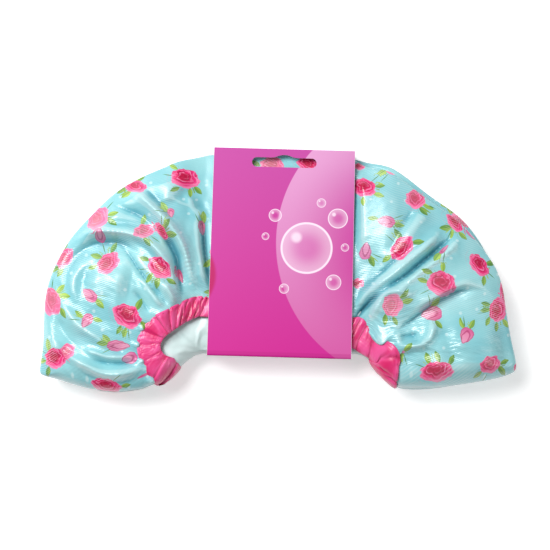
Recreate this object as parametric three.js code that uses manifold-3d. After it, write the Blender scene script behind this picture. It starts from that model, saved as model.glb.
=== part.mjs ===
// A satin shower cap as it is sold: laid flat, folded in half across its crown with the mouth outside,
// and held by a card sleeve that is folded round its middle.
// Millimetres. +Z is up, the cap's fold line lies along X, and the front of the card faces up.
import * as THREE from "three";
import { mergeVertices } from "three/addons/utils/BufferGeometryUtils.js";
import Module from "manifold-3d";

// The cap laid flat, before it is folded: the crown below, the mouth above
const CAP_HALF_WIDTH = 156; // from the crown to the outer edge, along the fold line
const CAP_HALF_LENGTH = 162; // the same, square to the fold line
const EDGE_SQUARENESS = 2.25; // exponent of the outline, 2 for an ellipse
const CAP_PUFF = 8.5; // how far the mouth side stands off the cap's middle plane
const CROWN_DEPTH = 5.2; // how far the crown side hangs off it
const CROWN_SILL = 2; // how far the crown's lining swells out through the mouth, at the fold
const SILL_SPREAD = 18; // half the length of that swelling, square to the fold line
const SHELL_WALL = 0.5;
const LINING_WALL = 0.4;
const CLEARANCE = 0.3; // between sheets, tape and elastic

// The mouth: a ring that the elastic draws in, pinched a little where the fold crosses it
const MOUTH_HALF_WIDTH_AT_FOLD = 71;
const MOUTH_OFFSET = -4; // sideways, from the middle of the cap
const MOUTH_FLARE = 95; // how strongly the ring widens again beside the fold
const MOUTH_HALF_LENGTH = 34;
const RIM_HEIGHT = 6.5; // of the ring over the cap's middle plane
const ELASTIC_WIDTH = 5;
const ELASTIC_WALL = 1;
const TAPE_WALL = 0.6;
const TAPE_PUFF = 1.1; // how far the gathered tape stands off the elastic, besides its own wall
const TAPE_RUCHE = 0.8; // height of its gathers
const TAPE_SHOULDER = 0.7; // where its round back starts, as a share of half its width
const TAPE_ROUND = 0.75; // how thick it still is there
const SEAM_OVERLAP = 3.6; // how far the tape covers the edge of shell and lining

// The gathers of the shell, which fan out from the ring
const GATHERS = 15;
const GATHER_HEIGHT = 3.6;
const GATHER_SWELL = 0.25; // how much the gathers differ in height
const SWELLS = 3; // how often they grow and shrink round the ring
const SWELL_START = 0.7; // radians, where the first of them is
const GATHER_PEAK = 0.55; // exponent that brings the highest place of a gather near the ring
const GATHER_FADE = 0.35; // what a gather loses on its way to the edge
const GATHER_LEAN = 0.6; // how strongly a gather leaves square to the ring
const PRESSED_GATHER = 0.35; // what the card leaves of them
const COLUMNS_PER_GATHER = 6;
const EDGE_CROWDING = 0.3; // draws the columns together where the edge meets the fold

// The large folds of the front half, as lines over the folded cap: x, and y from the fold line
const FRONT_GATHER = 0.4; // what they leave of the front gathers
const FOLD_RISE = 0.2; // share of the way from seam to edge over which they rise
const FOLD_FALL = 0.25; // share over which they fall to the edge
const FOLD_TAPER = 0.3; // share of a line's length over which it fades at each end
const FOLD_STEPS = 4; // of a line's curve, for each point that it is drawn through
const FOLD_LINES = [
  { height: 6, halfWidth: 9, through: [[-88, 126], [-76, 104], [-67, 87], [-60, 72], [-55, 58], [-53, 50]] },
  { height: -6, halfWidth: 7, through: [[-90, 116], [-80, 96], [-73, 78], [-67, 64], [-64, 52]] },
  { height: 5, halfWidth: 8, through: [[-136, 75], [-117, 92], [-98, 94], [-82, 86], [-73, 74], [-70, 60]] },
  { height: -4.5, halfWidth: 9, through: [[-140, 68], [-121, 81], [-100, 82], [-86, 73], [-78, 60]] },
  { height: 4, halfWidth: 12, through: [[-132, 64], [-112, 61], [-88, 58]] },
  { height: 5, halfWidth: 7, through: [[54, 40], [66, 54], [79, 66], [92, 77], [104, 88]] },
  { height: -5.5, halfWidth: 7, through: [[58, 34], [69, 48], [81, 60], [94, 71], [108, 83], [115, 93]] },
  { height: 5, halfWidth: 10, through: [[72, 46], [84, 58], [97, 69], [110, 80], [122, 94]] },
  { height: -4.5, halfWidth: 8, through: [[76, 26], [84, 32], [92, 39], [100, 46], [113, 54]] },
  { height: 4, halfWidth: 8, through: [[78, 36], [91, 46], [103, 54], [117, 59], [131, 58]] },
];

// The fold, and how the folded cap lies
const FOLD_RADIUS = 6.5; // of the middle plane
const EDGE_FLATTEN = 0.65; // how thick the outer edge lies, against the folded edge
const FLATTEN_START = 40; // distance from the fold line where the thinning starts

// The card sleeve
const CARD_WIDTH = 93;
const CARD_HEIGHT = 137;
const CARD_WALL = 0.5;
const SLEEVE_DEPTH_AT_FOLD = 28; // over both panels, at the cap's folded edge
const SLEEVE_DEPTH_AT_EDGE = 17; // the same, at the cap's outer edge
const CREASE_RADIUS = 1.2;
const CREASE_STEPS = 4;
const LAP_LENGTH = 18; // of the flap that the back panel is glued to
const GLUE_LINE = 0.3;
const SLEEVE_TURN = THREE.MathUtils.degToRad(-1.6);
const SLEEVE_OFFSET = 2.5; // sideways, from the middle of the cap
const SLEEVE_FOOT = 12.5; // the sleeve's lower crease, from the fold line of the free cap
const SLEEVE_EASE = 0.5; // between the card and the cap
const CARD_EASE = 1.4; // more room under the front panel, which the cap's facets cross
const SQUEEZE_LEAD = 6; // how far beside the card the cap stays pressed
const SQUEEZE_RUNOUT = 36; // how soon it swells to its free form after that

// The hang slot, cut through both panels
const SLOT_LENGTH = 42.5;
const SLOT_HEIGHT = 6.4;
const SLOT_BUMP = 1.9; // rise in the middle of its upper edge
const SLOT_BUMP_HALF_WIDTH = 9;
const SLOT_MARGIN = 9.2; // from the card's upper crease to the middle of the slot
const SLOT_STEPS = 8; // of each round end

const CLOTH = SHELL_WALL + CLEARANCE + LINING_WALL;
const COLUMNS = GATHERS * COLUMNS_PER_GATHER;
const TAPE_WIDTH = TAPE_WALL + 2 * CLEARANCE + ELASTIC_WIDTH + SEAM_OVERLAP;
const ELASTIC_START = -TAPE_WIDTH / 2 + TAPE_WALL + CLEARANCE;
const CLOTH_START = ELASTIC_START + ELASTIC_WIDTH + CLEARANCE;
const TALLEST_GATHER = (1 + GATHER_SWELL) * GATHER_HEIGHT;

// A point of the ring's centre line, and the outer edge it is gathered from, on the cap's middle plane.
function ringPoint(t) {
  const reach = MOUTH_HALF_WIDTH_AT_FOLD + MOUTH_FLARE * Math.sin(t) ** 2;
  return new THREE.Vector2(MOUTH_OFFSET + Math.cos(t) * reach, MOUTH_HALF_LENGTH * Math.sin(t));
}

function edgeAngle(t) {
  return t - EDGE_CROWDING * Math.sin(2 * t);
}

function edgePoint(t) {
  const a = edgeAngle(t);
  const reach = (x) => Math.sign(x) * Math.abs(x) ** (2 / EDGE_SQUARENESS);
  return new THREE.Vector2(CAP_HALF_WIDTH * reach(Math.cos(a)), CAP_HALF_LENGTH * reach(Math.sin(a)));
}

// The line that one gather follows over the mouth side, from the ring to the outer edge.
function gatherLine(t) {
  const step = 0.01;
  const ring = ringPoint(t);
  const edge = edgePoint(t);
  const along = ringPoint(t + step).sub(ringPoint(t - step)).normalize();
  const across = new THREE.Vector2(along.y, -along.x);
  const chord = edge.clone().sub(ring);
  const reach = chord.length() / 3;
  const leave = chord.clone().normalize().addScaledVector(across, GATHER_LEAN).normalize();
  const arrive = edge.clone().normalize();
  return new THREE.CubicBezierCurve(
    ring,
    ring.clone().addScaledVector(leave, reach),
    edge.clone().addScaledVector(arrive, -reach),
    edge,
  );
}

// How far a place lies out of the card's grip, from 0 under the card to 1 where the cap swells freely.
function freedom(sideways) {
  const beside = Math.abs(sideways - SLEEVE_OFFSET) - CARD_WIDTH / 2 - SQUEEZE_LEAD;
  return THREE.MathUtils.smoothstep(beside, 0, SQUEEZE_RUNOUT);
}

// How far the gathers lift the shell: nothing at the seam and the edge, most a third of the way out.
function gatherLift(t, f, sideways) {
  const swell = 1 + GATHER_SWELL * Math.sin(SWELLS * t + SWELL_START);
  const fade = Math.sin(Math.PI * f ** GATHER_PEAK) * (1 - GATHER_FADE * f);
  const left = THREE.MathUtils.lerp(PRESSED_GATHER, 1, freedom(sideways));
  const share = Math.sin(t) > 0 ? FRONT_GATHER : 1;
  return share * GATHER_HEIGHT * swell * fade * left * Math.cos(GATHERS * t);
}

// How far the large folds lift the front of the cap at a place of its flat form. The card presses them out.
const FOLD_CURVES = FOLD_LINES.map(({ height, halfWidth, through }) => {
  const curve = new THREE.SplineCurve(through.map(([x, y]) => new THREE.Vector2(x, y)));
  return { height, halfWidth, points: curve.getPoints(FOLD_STEPS * through.length) };
});
function foldLift(place, f) {
  if (place.y < 0) {
    return 0;
  }
  const { smoothstep } = THREE.MathUtils;
  const here = new THREE.Vector2(place.x, place.y + FOLD_RADIUS - (FOLD_RADIUS * Math.PI) / 2);
  const fade = smoothstep(f, 0, FOLD_RISE) * smoothstep(1 - f, 0, FOLD_FALL) * freedom(place.x);
  const lifts = FOLD_CURVES.map(({ height, halfWidth, points }) => {
    const apart = points.map((point) => point.distanceTo(here));
    const nearest = Math.min(...apart);
    const along = apart.indexOf(nearest) / (points.length - 1);
    const taper = smoothstep(along, 0, FOLD_TAPER) * smoothstep(1 - along, 0, FOLD_TAPER);
    return height * taper * Math.exp(-((nearest / halfWidth) ** 2));
  });
  return fade * lifts.reduce((sum, lift) => sum + lift, 0);
}

// A point of the mouth side at f, 0 at the binding's lips and 1 at the outer edge.
// The cap is drawn up from the rim to its crest, and falls to the edge as a quarter of an ellipse.
const CREST = 0.4;
function mouthSide(line, t, f) {
  const lips = (TAPE_WIDTH / 2 + 2 * CLEARANCE) / line.getLength();
  const u = lips + (1 - lips) * f;
  const point = line.getPointAt(u);
  const along = line.getTangentAt(u);
  const fall = Math.max(0, (f - CREST) / (1 - CREST));
  const rise = Math.sin((Math.PI / 2) * Math.min(1, f / CREST));
  const free = RIM_HEIGHT + CLOTH / 2 + (CAP_PUFF - RIM_HEIGHT) * rise;
  const height = free * Math.sqrt(1 - fall * fall);
  const run = (1 - CREST) * line.getLength();
  const normal = new THREE.Vector2(fall / run, Math.sqrt(1 - fall * fall) / CAP_PUFF).normalize();
  return {
    at: new THREE.Vector3(point.x, point.y, height + gatherLift(t, f, point.x) + foldLift(point, f)),
    inward: new THREE.Vector3(-along.x * normal.x, -along.y * normal.x, -normal.y),
  };
}

// The edge of the cloth, flat between the lips of the binding.
function seamEdge(line) {
  const point = line.getPointAt(CLOTH_START / line.getLength());
  return {
    at: new THREE.Vector3(point.x, point.y, RIM_HEIGHT + CLOTH / 2),
    inward: new THREE.Vector3(0, 0, -1),
  };
}

// A point of the crown side at g, 1 at the outer edge and 0 at the crown.
function crownSide(t, g) {
  const edge = edgePoint(t).multiplyScalar(g);
  const sag = -CROWN_DEPTH * Math.sqrt(1 - g ** 4);
  const across = Math.max(0, 1 - ((edge.x - MOUTH_OFFSET) / MOUTH_HALF_WIDTH_AT_FOLD) ** 2);
  const swell = Math.exp(-((edge.y / SILL_SPREAD) ** 2)) * across;
  const height = sag + (CROWN_SILL - CLOTH + CROWN_DEPTH) * swell;
  return {
    at: new THREE.Vector3(edge.x, edge.y, height),
    inward: new THREE.Vector3(0, 0, 1),
  };
}

// Folding the flat cap in half: the middle plane turns round the fold line, the mouth side outermost.
function folded(p) {
  const arc = (FOLD_RADIUS * Math.PI) / 2;
  const reach = Math.abs(p.y);
  const side = p.y < 0 ? -1 : 1;
  const angle = Math.min(reach, arc) / FOLD_RADIUS;
  const radius = FOLD_RADIUS + p.z;
  const y = FOLD_RADIUS - radius * Math.cos(angle) + Math.max(0, reach - arc);
  return new THREE.Vector3(p.x, y, side * radius * Math.sin(angle));
}

// The inside of the sleeve, in the sleeve's own frame: its foot, its length and its height above the back.
const INSIDE_FOOT = SLEEVE_FOOT + CARD_WALL + SLEEVE_EASE;
const INSIDE_LENGTH = CARD_HEIGHT - 2 * (CARD_WALL + SLEEVE_EASE);
const INSIDE_FLOOR = 2 * CARD_WALL + GLUE_LINE + SLEEVE_EASE;
function insideHeight(y) {
  const share = (y - SLEEVE_FOOT) / CARD_HEIGHT;
  const depth = THREE.MathUtils.lerp(SLEEVE_DEPTH_AT_FOLD, SLEEVE_DEPTH_AT_EDGE, share);
  return depth - CARD_WALL - SLEEVE_EASE - CARD_EASE - INSIDE_FLOOR;
}

// Pressing the folded cap into the sleeve. Beside the card it swells out to its free thickness.
const FREE_TOP = FOLD_RADIUS + CAP_HALF_LENGTH - (FOLD_RADIUS * Math.PI) / 2;
const FREE_HALF_STACK = FOLD_RADIUS + CAP_PUFF + TALLEST_GATHER;
const HELD_HALF_STACK = FOLD_RADIUS + CAP_PUFF + PRESSED_GATHER * TALLEST_GATHER;
const SLEEVE_MIDDLE = new THREE.Vector2(SLEEVE_OFFSET, SLEEVE_FOOT + CARD_HEIGHT / 2);
function pressed(p) {
  const flat = new THREE.Vector2(p.x, p.y).rotateAround(SLEEVE_MIDDLE, -SLEEVE_TURN);
  const squeeze = 1 - freedom(flat.x);
  const share = (flat.y + CROWN_SILL) / (FREE_TOP + CROWN_SILL);
  const y = THREE.MathUtils.lerp(flat.y, INSIDE_FOOT + share * INSIDE_LENGTH, squeeze);
  const thin = THREE.MathUtils.smoothstep(y, FLATTEN_START, FREE_TOP);
  const free = (p.z + FREE_HALF_STACK) * THREE.MathUtils.lerp(1, EDGE_FLATTEN, thin);
  const held = INSIDE_FLOOR + (0.5 + p.z / (2 * HELD_HALF_STACK)) * insideHeight(y);
  const out = new THREE.Vector2(flat.x, y).rotateAround(SLEEVE_MIDDLE, SLEEVE_TURN);
  return new THREE.Vector3(out.x, out.y, THREE.MathUtils.lerp(free, held, squeeze));
}

function placed(p) {
  return pressed(folded(p));
}

const columnAngles = Array.from({ length: COLUMNS }, (_, i) => (2 * Math.PI * i) / COLUMNS);

function closedGeometry(points, triangles) {
  const geometry = new THREE.BufferGeometry();
  geometry.setAttribute("position", new THREE.Float32BufferAttribute(points.flatMap((p) => p.toArray()), 3));
  geometry.setIndex(triangles.flat());
  geometry.computeVertexNormals();
  return geometry;
}

// Rows of cloth from the seam over the mouth side, round the outer edge and in to the crown.
const MOUTH_ROWS = [0, 0.14, 0.28, 0.42, 0.58, 0.74, 0.9, 1];
const CROWN_ROWS = [0.88, 0.55, (CARD_WIDTH / 2 + SQUEEZE_LEAD) / CAP_HALF_WIDTH];
function clothRows(t) {
  const line = gatherLine(t);
  const mouth = MOUTH_ROWS.map((f) => mouthSide(line, t, f));
  const crown = CROWN_ROWS.map((g) => crownSide(t, g));
  return [seamEdge(line), ...mouth, ...crown];
}

// A sheet of cloth between two depths under the cap's outer face: two grids of points, joined at the rim.
function clothSheet(outerDepth, innerDepth) {
  const columns = columnAngles.map(clothRows);
  const rows = columns[0].length;
  const points = [];
  const triangles = [];
  const index = (layer, row, column) => (layer * rows + row) * COLUMNS + (column % COLUMNS);
  [outerDepth, innerDepth].forEach((depth) => {
    for (let row = 0; row < rows; row++) {
      columns.forEach((column) => {
        const { at, inward } = column[row];
        points.push(placed(at.clone().addScaledVector(inward, depth)));
      });
    }
  });
  const crown = crownSide(0, 0);
  [outerDepth, innerDepth].forEach((depth, layer) => {
    const pole = points.length;
    points.push(placed(crown.at.clone().addScaledVector(crown.inward, depth)));
    const facing = (a, b, c) => triangles.push(layer === 0 ? [a, c, b] : [a, b, c]);
    for (let c = 0; c < COLUMNS; c++) {
      for (let row = 0; row < rows - 1; row++) {
        const [a, b] = [index(layer, row, c), index(layer, row, c + 1)];
        const [d, e] = [index(layer, row + 1, c), index(layer, row + 1, c + 1)];
        facing(a, b, e);
        facing(a, e, d);
      }
      facing(index(layer, rows - 1, c), index(layer, rows - 1, c + 1), pole);
    }
  });
  for (let c = 0; c < COLUMNS; c++) {
    const [a, b] = [index(0, 0, c), index(0, 0, c + 1)];
    const [d, e] = [index(1, 0, c), index(1, 0, c + 1)];
    triangles.push([a, b, e], [a, e, d]);
  }
  return closedGeometry(points, triangles);
}

// A closed ring along the mouth, swept from a section of [across, up] points that runs anticlockwise.
function mouthRing(sectionAt) {
  const points = [];
  const triangles = [];
  const sections = columnAngles.map((t, column) => {
    const line = gatherLine(t);
    const middle = line.getPointAt(0);
    const across = line.getTangentAt(0);
    return sectionAt(column).map(([d, n]) => {
      const at = new THREE.Vector3(middle.x + across.x * d, middle.y + across.y * d, RIM_HEIGHT + n);
      points.push(placed(at));
      return points.length - 1;
    });
  });
  sections.forEach((section, c) => {
    const next = sections[(c + 1) % COLUMNS];
    section.forEach((a, i) => {
      const j = (i + 1) % section.length;
      triangles.push([a, next[j], section[j]], [a, next[i], next[j]]);
    });
  });
  return closedGeometry(points, triangles);
}

// The tape folded over the edge: closed towards the mouth, with two lips that hold shell and lining.
function tapeSection(column) {
  const half = TAPE_WIDTH / 2;
  const slit = CLOTH / 2 + CLEARANCE;
  const room = Math.max(slit, ELASTIC_WALL / 2 + CLEARANCE);
  const lip = slit + TAPE_WALL;
  const body = room + TAPE_WALL + TAPE_PUFF + (column % 2) * TAPE_RUCHE;
  const back = -half + TAPE_WALL;
  return [
    [half, slit],
    [half, lip],
    [half / 2, (lip + body) / 2],
    [0, body],
    [-TAPE_SHOULDER * half, TAPE_ROUND * body],
    [-half, 0],
    [-TAPE_SHOULDER * half, -TAPE_ROUND * body],
    [0, -body],
    [half / 2, -(lip + body) / 2],
    [half, -lip],
    [half, -slit],
    [CLOTH_START, -room],
    [back, -room],
    [back, room],
    [CLOTH_START, room],
  ];
}

function elasticSection() {
  const end = ELASTIC_START + ELASTIC_WIDTH;
  const half = ELASTIC_WALL / 2;
  return [
    [end, -half],
    [end, half],
    [ELASTIC_START, half],
    [ELASTIC_START, -half],
  ];
}

// The sleeve's card in section, [along the card, up], from the end of the glued lap round to the back panel.
function sleeveShape() {
  const mid = CARD_WALL / 2;
  const top = CARD_HEIGHT - mid;
  const lap = mid + CARD_WALL + GLUE_LINE;
  const bends = [
    [CARD_HEIGHT - LAP_LENGTH, lap],
    [top, lap],
    [top, SLEEVE_DEPTH_AT_EDGE - mid],
    [mid, SLEEVE_DEPTH_AT_FOLD - mid],
    [mid, mid],
    [top, mid],
  ].map(([a, b]) => new THREE.Vector2(a, b));
  const middleLine = [bends[0]];
  for (let i = 1; i < bends.length - 1; i++) {
    middleLine.push(...roundedBend(bends[i - 1], bends[i], bends[i + 1]));
  }
  middleLine.push(bends[bends.length - 1]);
  const sides = [mid, -mid].map((offset) => middleLine.map((p, i) => offsetPoint(middleLine, i, offset)));
  return new THREE.Shape([...sides[0], ...sides[1].reverse()]);
}

// Points of a rounded crease at one bend of the card's middle line.
function roundedBend(before, bend, after) {
  const from = before.clone().sub(bend).normalize();
  const to = after.clone().sub(bend).normalize();
  const half = Math.acos(THREE.MathUtils.clamp(from.dot(to), -1, 1)) / 2;
  const setback = (CREASE_RADIUS - CARD_WALL / 2) / Math.tan(half);
  const start = bend.clone().addScaledVector(from, setback);
  const end = bend.clone().addScaledVector(to, setback);
  return new THREE.QuadraticBezierCurve(start, bend, end).getPoints(CREASE_STEPS);
}

function offsetPoint(path, i, offset) {
  const before = path[Math.max(0, i - 1)];
  const after = path[Math.min(path.length - 1, i + 1)];
  const along = after.clone().sub(before).normalize();
  return path[i].clone().add(new THREE.Vector2(along.y, -along.x).multiplyScalar(offset));
}

// The hang slot's outline: a long round-ended slot with a low bump in its upper edge, which centres a hook.
function slotShape() {
  const half = SLOT_HEIGHT / 2;
  const straight = SLOT_LENGTH / 2 - half;
  const bump = SLOT_BUMP_HALF_WIDTH;
  const shape = new THREE.Shape();
  shape.absarc(straight, 0, half, -Math.PI / 2, Math.PI / 2, false);
  shape.lineTo(bump, half);
  shape.bezierCurveTo(bump / 2, half, bump / 2, half + SLOT_BUMP, 0, half + SLOT_BUMP);
  shape.bezierCurveTo(-bump / 2, half + SLOT_BUMP, -bump / 2, half, -bump, half);
  shape.absarc(-straight, 0, half, Math.PI / 2, (3 * Math.PI) / 2, false);
  return shape;
}

const wasm = await Module();
wasm.setup();

function solid(geometry) {
  geometry.deleteAttribute("normal");
  geometry.deleteAttribute("uv");
  const merged = mergeVertices(geometry, 1e-4);
  const triVerts = new Uint32Array(merged.index.array);
  const vertProperties = merged.attributes.position.array;
  return new wasm.Manifold(new wasm.Mesh({ numProp: 3, vertProperties, triVerts }));
}

function geometryOf(made) {
  const mesh = made.getMesh();
  const geometry = new THREE.BufferGeometry();
  geometry.setAttribute("position", new THREE.BufferAttribute(mesh.vertProperties, 3));
  geometry.setIndex(new THREE.BufferAttribute(mesh.triVerts, 1));
  geometry.computeVertexNormals();
  return geometry;
}

// The sleeve stands on its back panel, with its lower crease at the origin and its width along X.
function sleeveGeometry() {
  const band = new THREE.ExtrudeGeometry(sleeveShape(), { depth: CARD_WIDTH, bevelEnabled: false });
  band.applyMatrix4(
    new THREE.Matrix4().makeBasis(
      new THREE.Vector3(0, 1, 0),
      new THREE.Vector3(0, 0, 1),
      new THREE.Vector3(1, 0, 0),
    ),
  );
  band.translate(-CARD_WIDTH / 2, 0, 0);
  const depth = SLEEVE_DEPTH_AT_FOLD + SLEEVE_DEPTH_AT_EDGE;
  const slotForm = { depth, bevelEnabled: false, curveSegments: SLOT_STEPS };
  const slot = new THREE.ExtrudeGeometry(slotShape(), slotForm);
  slot.translate(0, CARD_HEIGHT - SLOT_MARGIN, -SLEEVE_DEPTH_AT_EDGE);
  return geometryOf(solid(band).subtract(solid(slot)));
}

function part(name, geometry, color, roughness) {
  const mesh = new THREE.Mesh(geometry, new THREE.MeshStandardMaterial({ color, roughness, metalness: 0 }));
  mesh.name = name;
  return mesh;
}

const cap = new THREE.Group();
cap.add(part("outer_shell", clothSheet(0, SHELL_WALL), "#96d7dc", 0.35));
cap.add(part("waterproof_lining", clothSheet(SHELL_WALL + CLEARANCE, CLOTH), "#e4eeee", 0.5));
cap.add(part("rim_binding", mouthRing(tapeSection), "#eb3c82", 0.4));
cap.add(part("elastic_band", mouthRing(elasticSection), "#f4f2ee", 0.8));

const sleeve = part("card_sleeve", sleeveGeometry(), "#de3c9c", 0.35);
sleeve.geometry.translate(0, -CARD_HEIGHT / 2, 0);
sleeve.position.set(SLEEVE_MIDDLE.x, SLEEVE_MIDDLE.y, 0);
sleeve.rotation.z = SLEEVE_TURN;

// The origin lies under the middle of the whole object, on the surface that it rests on.
const group = new THREE.Group();
group.add(cap, sleeve);
const box = new THREE.Box3().setFromObject(group);
const middle = box.getCenter(new THREE.Vector3());
group.children.forEach((child) => child.position.sub(new THREE.Vector3(middle.x, middle.y, box.min.z)));

export default group;
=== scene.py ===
# %% [markdown]
# # A satin shower cap in its card sleeve
# The cap is a circle of printed satin and a circle of pale film, sewn together at the rim under a gathered
# pink tape that hides an elastic. For sale it lies flat, is folded in half across its crown with the mouth
# outside, and a card sleeve is folded round its middle. This lesson dresses the packed solids of that
# object: the cloth is rebuilt as fine sheets from the same few sizes, and the card keeps its solid and gets
# a print.

# %% Load the frame
import math

import bpy
import numpy as np
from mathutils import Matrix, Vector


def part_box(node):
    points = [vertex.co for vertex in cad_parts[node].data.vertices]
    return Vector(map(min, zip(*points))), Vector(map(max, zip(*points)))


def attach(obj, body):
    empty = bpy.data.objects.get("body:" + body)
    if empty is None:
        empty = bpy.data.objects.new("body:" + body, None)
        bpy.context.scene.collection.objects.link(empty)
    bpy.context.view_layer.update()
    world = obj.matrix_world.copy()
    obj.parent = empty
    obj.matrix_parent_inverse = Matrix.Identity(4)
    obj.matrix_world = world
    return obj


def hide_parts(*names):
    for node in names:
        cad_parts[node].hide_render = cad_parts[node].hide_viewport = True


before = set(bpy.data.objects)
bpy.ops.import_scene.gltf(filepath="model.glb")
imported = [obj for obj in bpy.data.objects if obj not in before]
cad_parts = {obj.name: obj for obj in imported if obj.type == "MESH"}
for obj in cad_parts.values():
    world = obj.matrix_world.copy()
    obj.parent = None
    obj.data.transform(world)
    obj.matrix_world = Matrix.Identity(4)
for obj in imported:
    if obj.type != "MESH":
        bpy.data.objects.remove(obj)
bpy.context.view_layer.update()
MM = 0.001

# %% [markdown]
# ## The camera
# The photograph looks almost straight down. A long lens keeps the card's edges nearly parallel. The camera
# could be aimed by a constraint, but with only one tilt to set, its place and turn are quicker to read as
# plain numbers.

# %% Camera
VIEW_CENTRE = (-2.0 * MM, -2.6 * MM, 12 * MM)
VIEW_ELEVATION = math.radians(87)
VIEW_DISTANCE = 0.75
VIEW_WIDTH = 0.363  # of the picture, at the distance of the view's centre
SENSOR = 36.0

camera_data = bpy.data.cameras.new("camera")
camera_data.sensor_width = SENSOR
camera_data.lens = SENSOR * VIEW_DISTANCE / VIEW_WIDTH
camera = bpy.data.objects.new("camera", camera_data)
bpy.context.scene.collection.objects.link(camera)
camera.location = (
    VIEW_CENTRE[0],
    VIEW_CENTRE[1] - VIEW_DISTANCE * math.cos(VIEW_ELEVATION),
    VIEW_CENTRE[2] + VIEW_DISTANCE * math.sin(VIEW_ELEVATION),
)
camera.rotation_euler = (math.pi / 2 - VIEW_ELEVATION, 0, 0)
bpy.context.scene.camera = camera
print("lens, mm:", round(camera_data.lens, 1))


# %% [markdown]
# ## The lamps
# One large soft lamp on the upper left gives the satin its broad white sheen, as a window or a soft box
# does, and one weaker lamp on the lower right fills the shadows. Area lamps are used because satin mirrors
# the shape of its light.

# %% Lamps
# name, place, width of the square in metres, and power in watts
LAMPS = [("key", (-0.48, 0.42, 0.9), 0.62, 13.8), ("fill", (0.95, -0.4, 0.7), 0.6, 2.8)]


def soft_lamp(name, place, width, power):
    """A square soft lamp that looks at the frame's origin."""
    data = bpy.data.lights.new(name, "AREA")
    data.shape = "RECTANGLE"
    data.size = data.size_y = width
    data.energy = power
    lamp = bpy.data.objects.new(name, data)
    bpy.context.scene.collection.objects.link(lamp)
    lamp.location = place
    x, y, z = place
    lamp.rotation_euler = (math.atan2(math.hypot(x, y), z), 0, math.atan2(y, x) + math.pi / 2)


for lamp in LAMPS:
    soft_lamp(*lamp)
print(len(LAMPS), "soft lamps")


# %% [markdown]
# ## Shader maths as Python expressions
# A procedural finish is a sum of many small formulas. Nodes could be added and linked one by one, but that
# is hard to read, so one small class wraps a socket: arithmetic on it adds Math nodes, and one method adds
# any other node.

# %% The socket class
class Value:
    """A socket of a material's node tree. Arithmetic on it adds Math nodes."""

    def __init__(self, tree, socket=None):
        self.tree = tree
        self.socket = socket

    def node(self, kind, settings=None, sockets=None, out=0):
        """Any node, with its settings and what goes into its sockets. Returns one of its outputs."""
        made = self.tree.nodes.new(kind)
        for name, setting in (settings or {}).items():
            setattr(made, name, setting)
        for name, value in (sockets or {}).items():
            if isinstance(value, Value):
                self.tree.links.new(value.socket, made.inputs[name])
            else:
                made.inputs[name].default_value = value
        return Value(self.tree, made.outputs[out])

    def maths(self, operation, *others):
        return self.node("ShaderNodeMath", {"operation": operation}, dict(enumerate((self, *others))))

    def __add__(self, other):
        return self.maths("ADD", other)

    __radd__ = __add__

    def __mul__(self, other):
        return self.maths("MULTIPLY", other)

    __rmul__ = __mul__

    def __sub__(self, other):
        return self.maths("SUBTRACT", other)

    def __rsub__(self, other):
        return self.node("ShaderNodeMath", {"operation": "SUBTRACT"}, {0: other, 1: self})

    def __truediv__(self, other):
        return self.maths("DIVIDE", other)

    def __pow__(self, other):
        return self.maths("POWER", other)

    def __abs__(self):
        return self.maths("ABSOLUTE")

    def sin(self):
        return self.maths("SINE")

    def fract(self):
        return self.maths("FRACT")

    def floor(self):
        return self.maths("FLOOR")

    def clamp(self):
        return self.node("ShaderNodeClamp", None, {0: self})

    def step(self, low, high):
        """0 below low, 1 above high, smooth between them. High may be the lower one."""
        return self.node(
            "ShaderNodeMapRange",
            {"interpolation_type": "SMOOTHSTEP"},
            {"Value": self, "From Min": low, "From Max": high, "To Min": 0.0, "To Max": 1.0},
        )

    def mix(self, first, second):
        """The first colour where this value is 0, the second where it is 1."""
        return self.node("ShaderNodeMix", {"data_type": "RGBA"}, {0: self, 6: first, 7: second}, 2)

    def axis(self, name):
        return self.node("ShaderNodeSeparateXYZ", None, {0: self}, name)

    def vector(self, *parts):
        return self.node("ShaderNodeCombineXYZ", None, dict(enumerate(parts)))

    def noise(self, scale, dimensions="2D", **more):
        """Cloudy noise at this place, mostly from 0.3 to 0.7."""
        settings = {"noise_dimensions": dimensions}
        return self.node("ShaderNodeTexNoise", settings, {"Vector": self, "Scale": scale, **more})

    def attribute(self, name):
        """A vector that is stored on the mesh under a name."""
        return self.node("ShaderNodeAttribute", {"attribute_name": name}, None, "Vector")

    def bump(self, strength, distance):
        """The normal of a surface with this height."""
        return self.node("ShaderNodeBump", None, {"Strength": strength, "Distance": distance, "Height": self})


print("socket class with", sum(callable(part) for part in vars(Value).values()), "methods")


# %% [markdown]
# Every finish starts in the same way, from one Principled shader with its constants set. Colours are
# written as they show on a screen, because that is how a maker reads them from a picture, and are turned
# into the shader's linear values.

# %% Materials and colours
def colour(red, green, blue):
    """A colour written as it shows on a screen, from 0 to 255, for a socket."""
    parts = [c / 255 for c in (red, green, blue)]
    return (*[c / 12.92 if c <= 0.04045 else ((c + 0.055) / 1.055) ** 2.4 for c in parts], 1.0)


def new_material(name, **constants):
    """A material with one Principled shader. Returns it, a Value to start from, and the shader."""
    material = bpy.data.materials.new(name)
    material.use_nodes = True
    tree = material.node_tree
    shader = next(n for n in tree.nodes if n.type == "BSDF_PRINCIPLED")
    for socket, value in constants.items():
        shader.inputs[socket.replace("_", " ")].default_value = value
    return material, Value(tree), shader


def feed(shader, socket, value):
    """Links a value to one of the shader's sockets."""
    value.tree.links.new(value.socket, shader.inputs[socket])


def paint(base, mask, tone):
    """The base colour with another tone painted over it where the mask is 1."""
    return mask.mix(base, tone)


print("mid grey in linear light:", round(colour(128, 128, 128)[0], 3))

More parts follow.
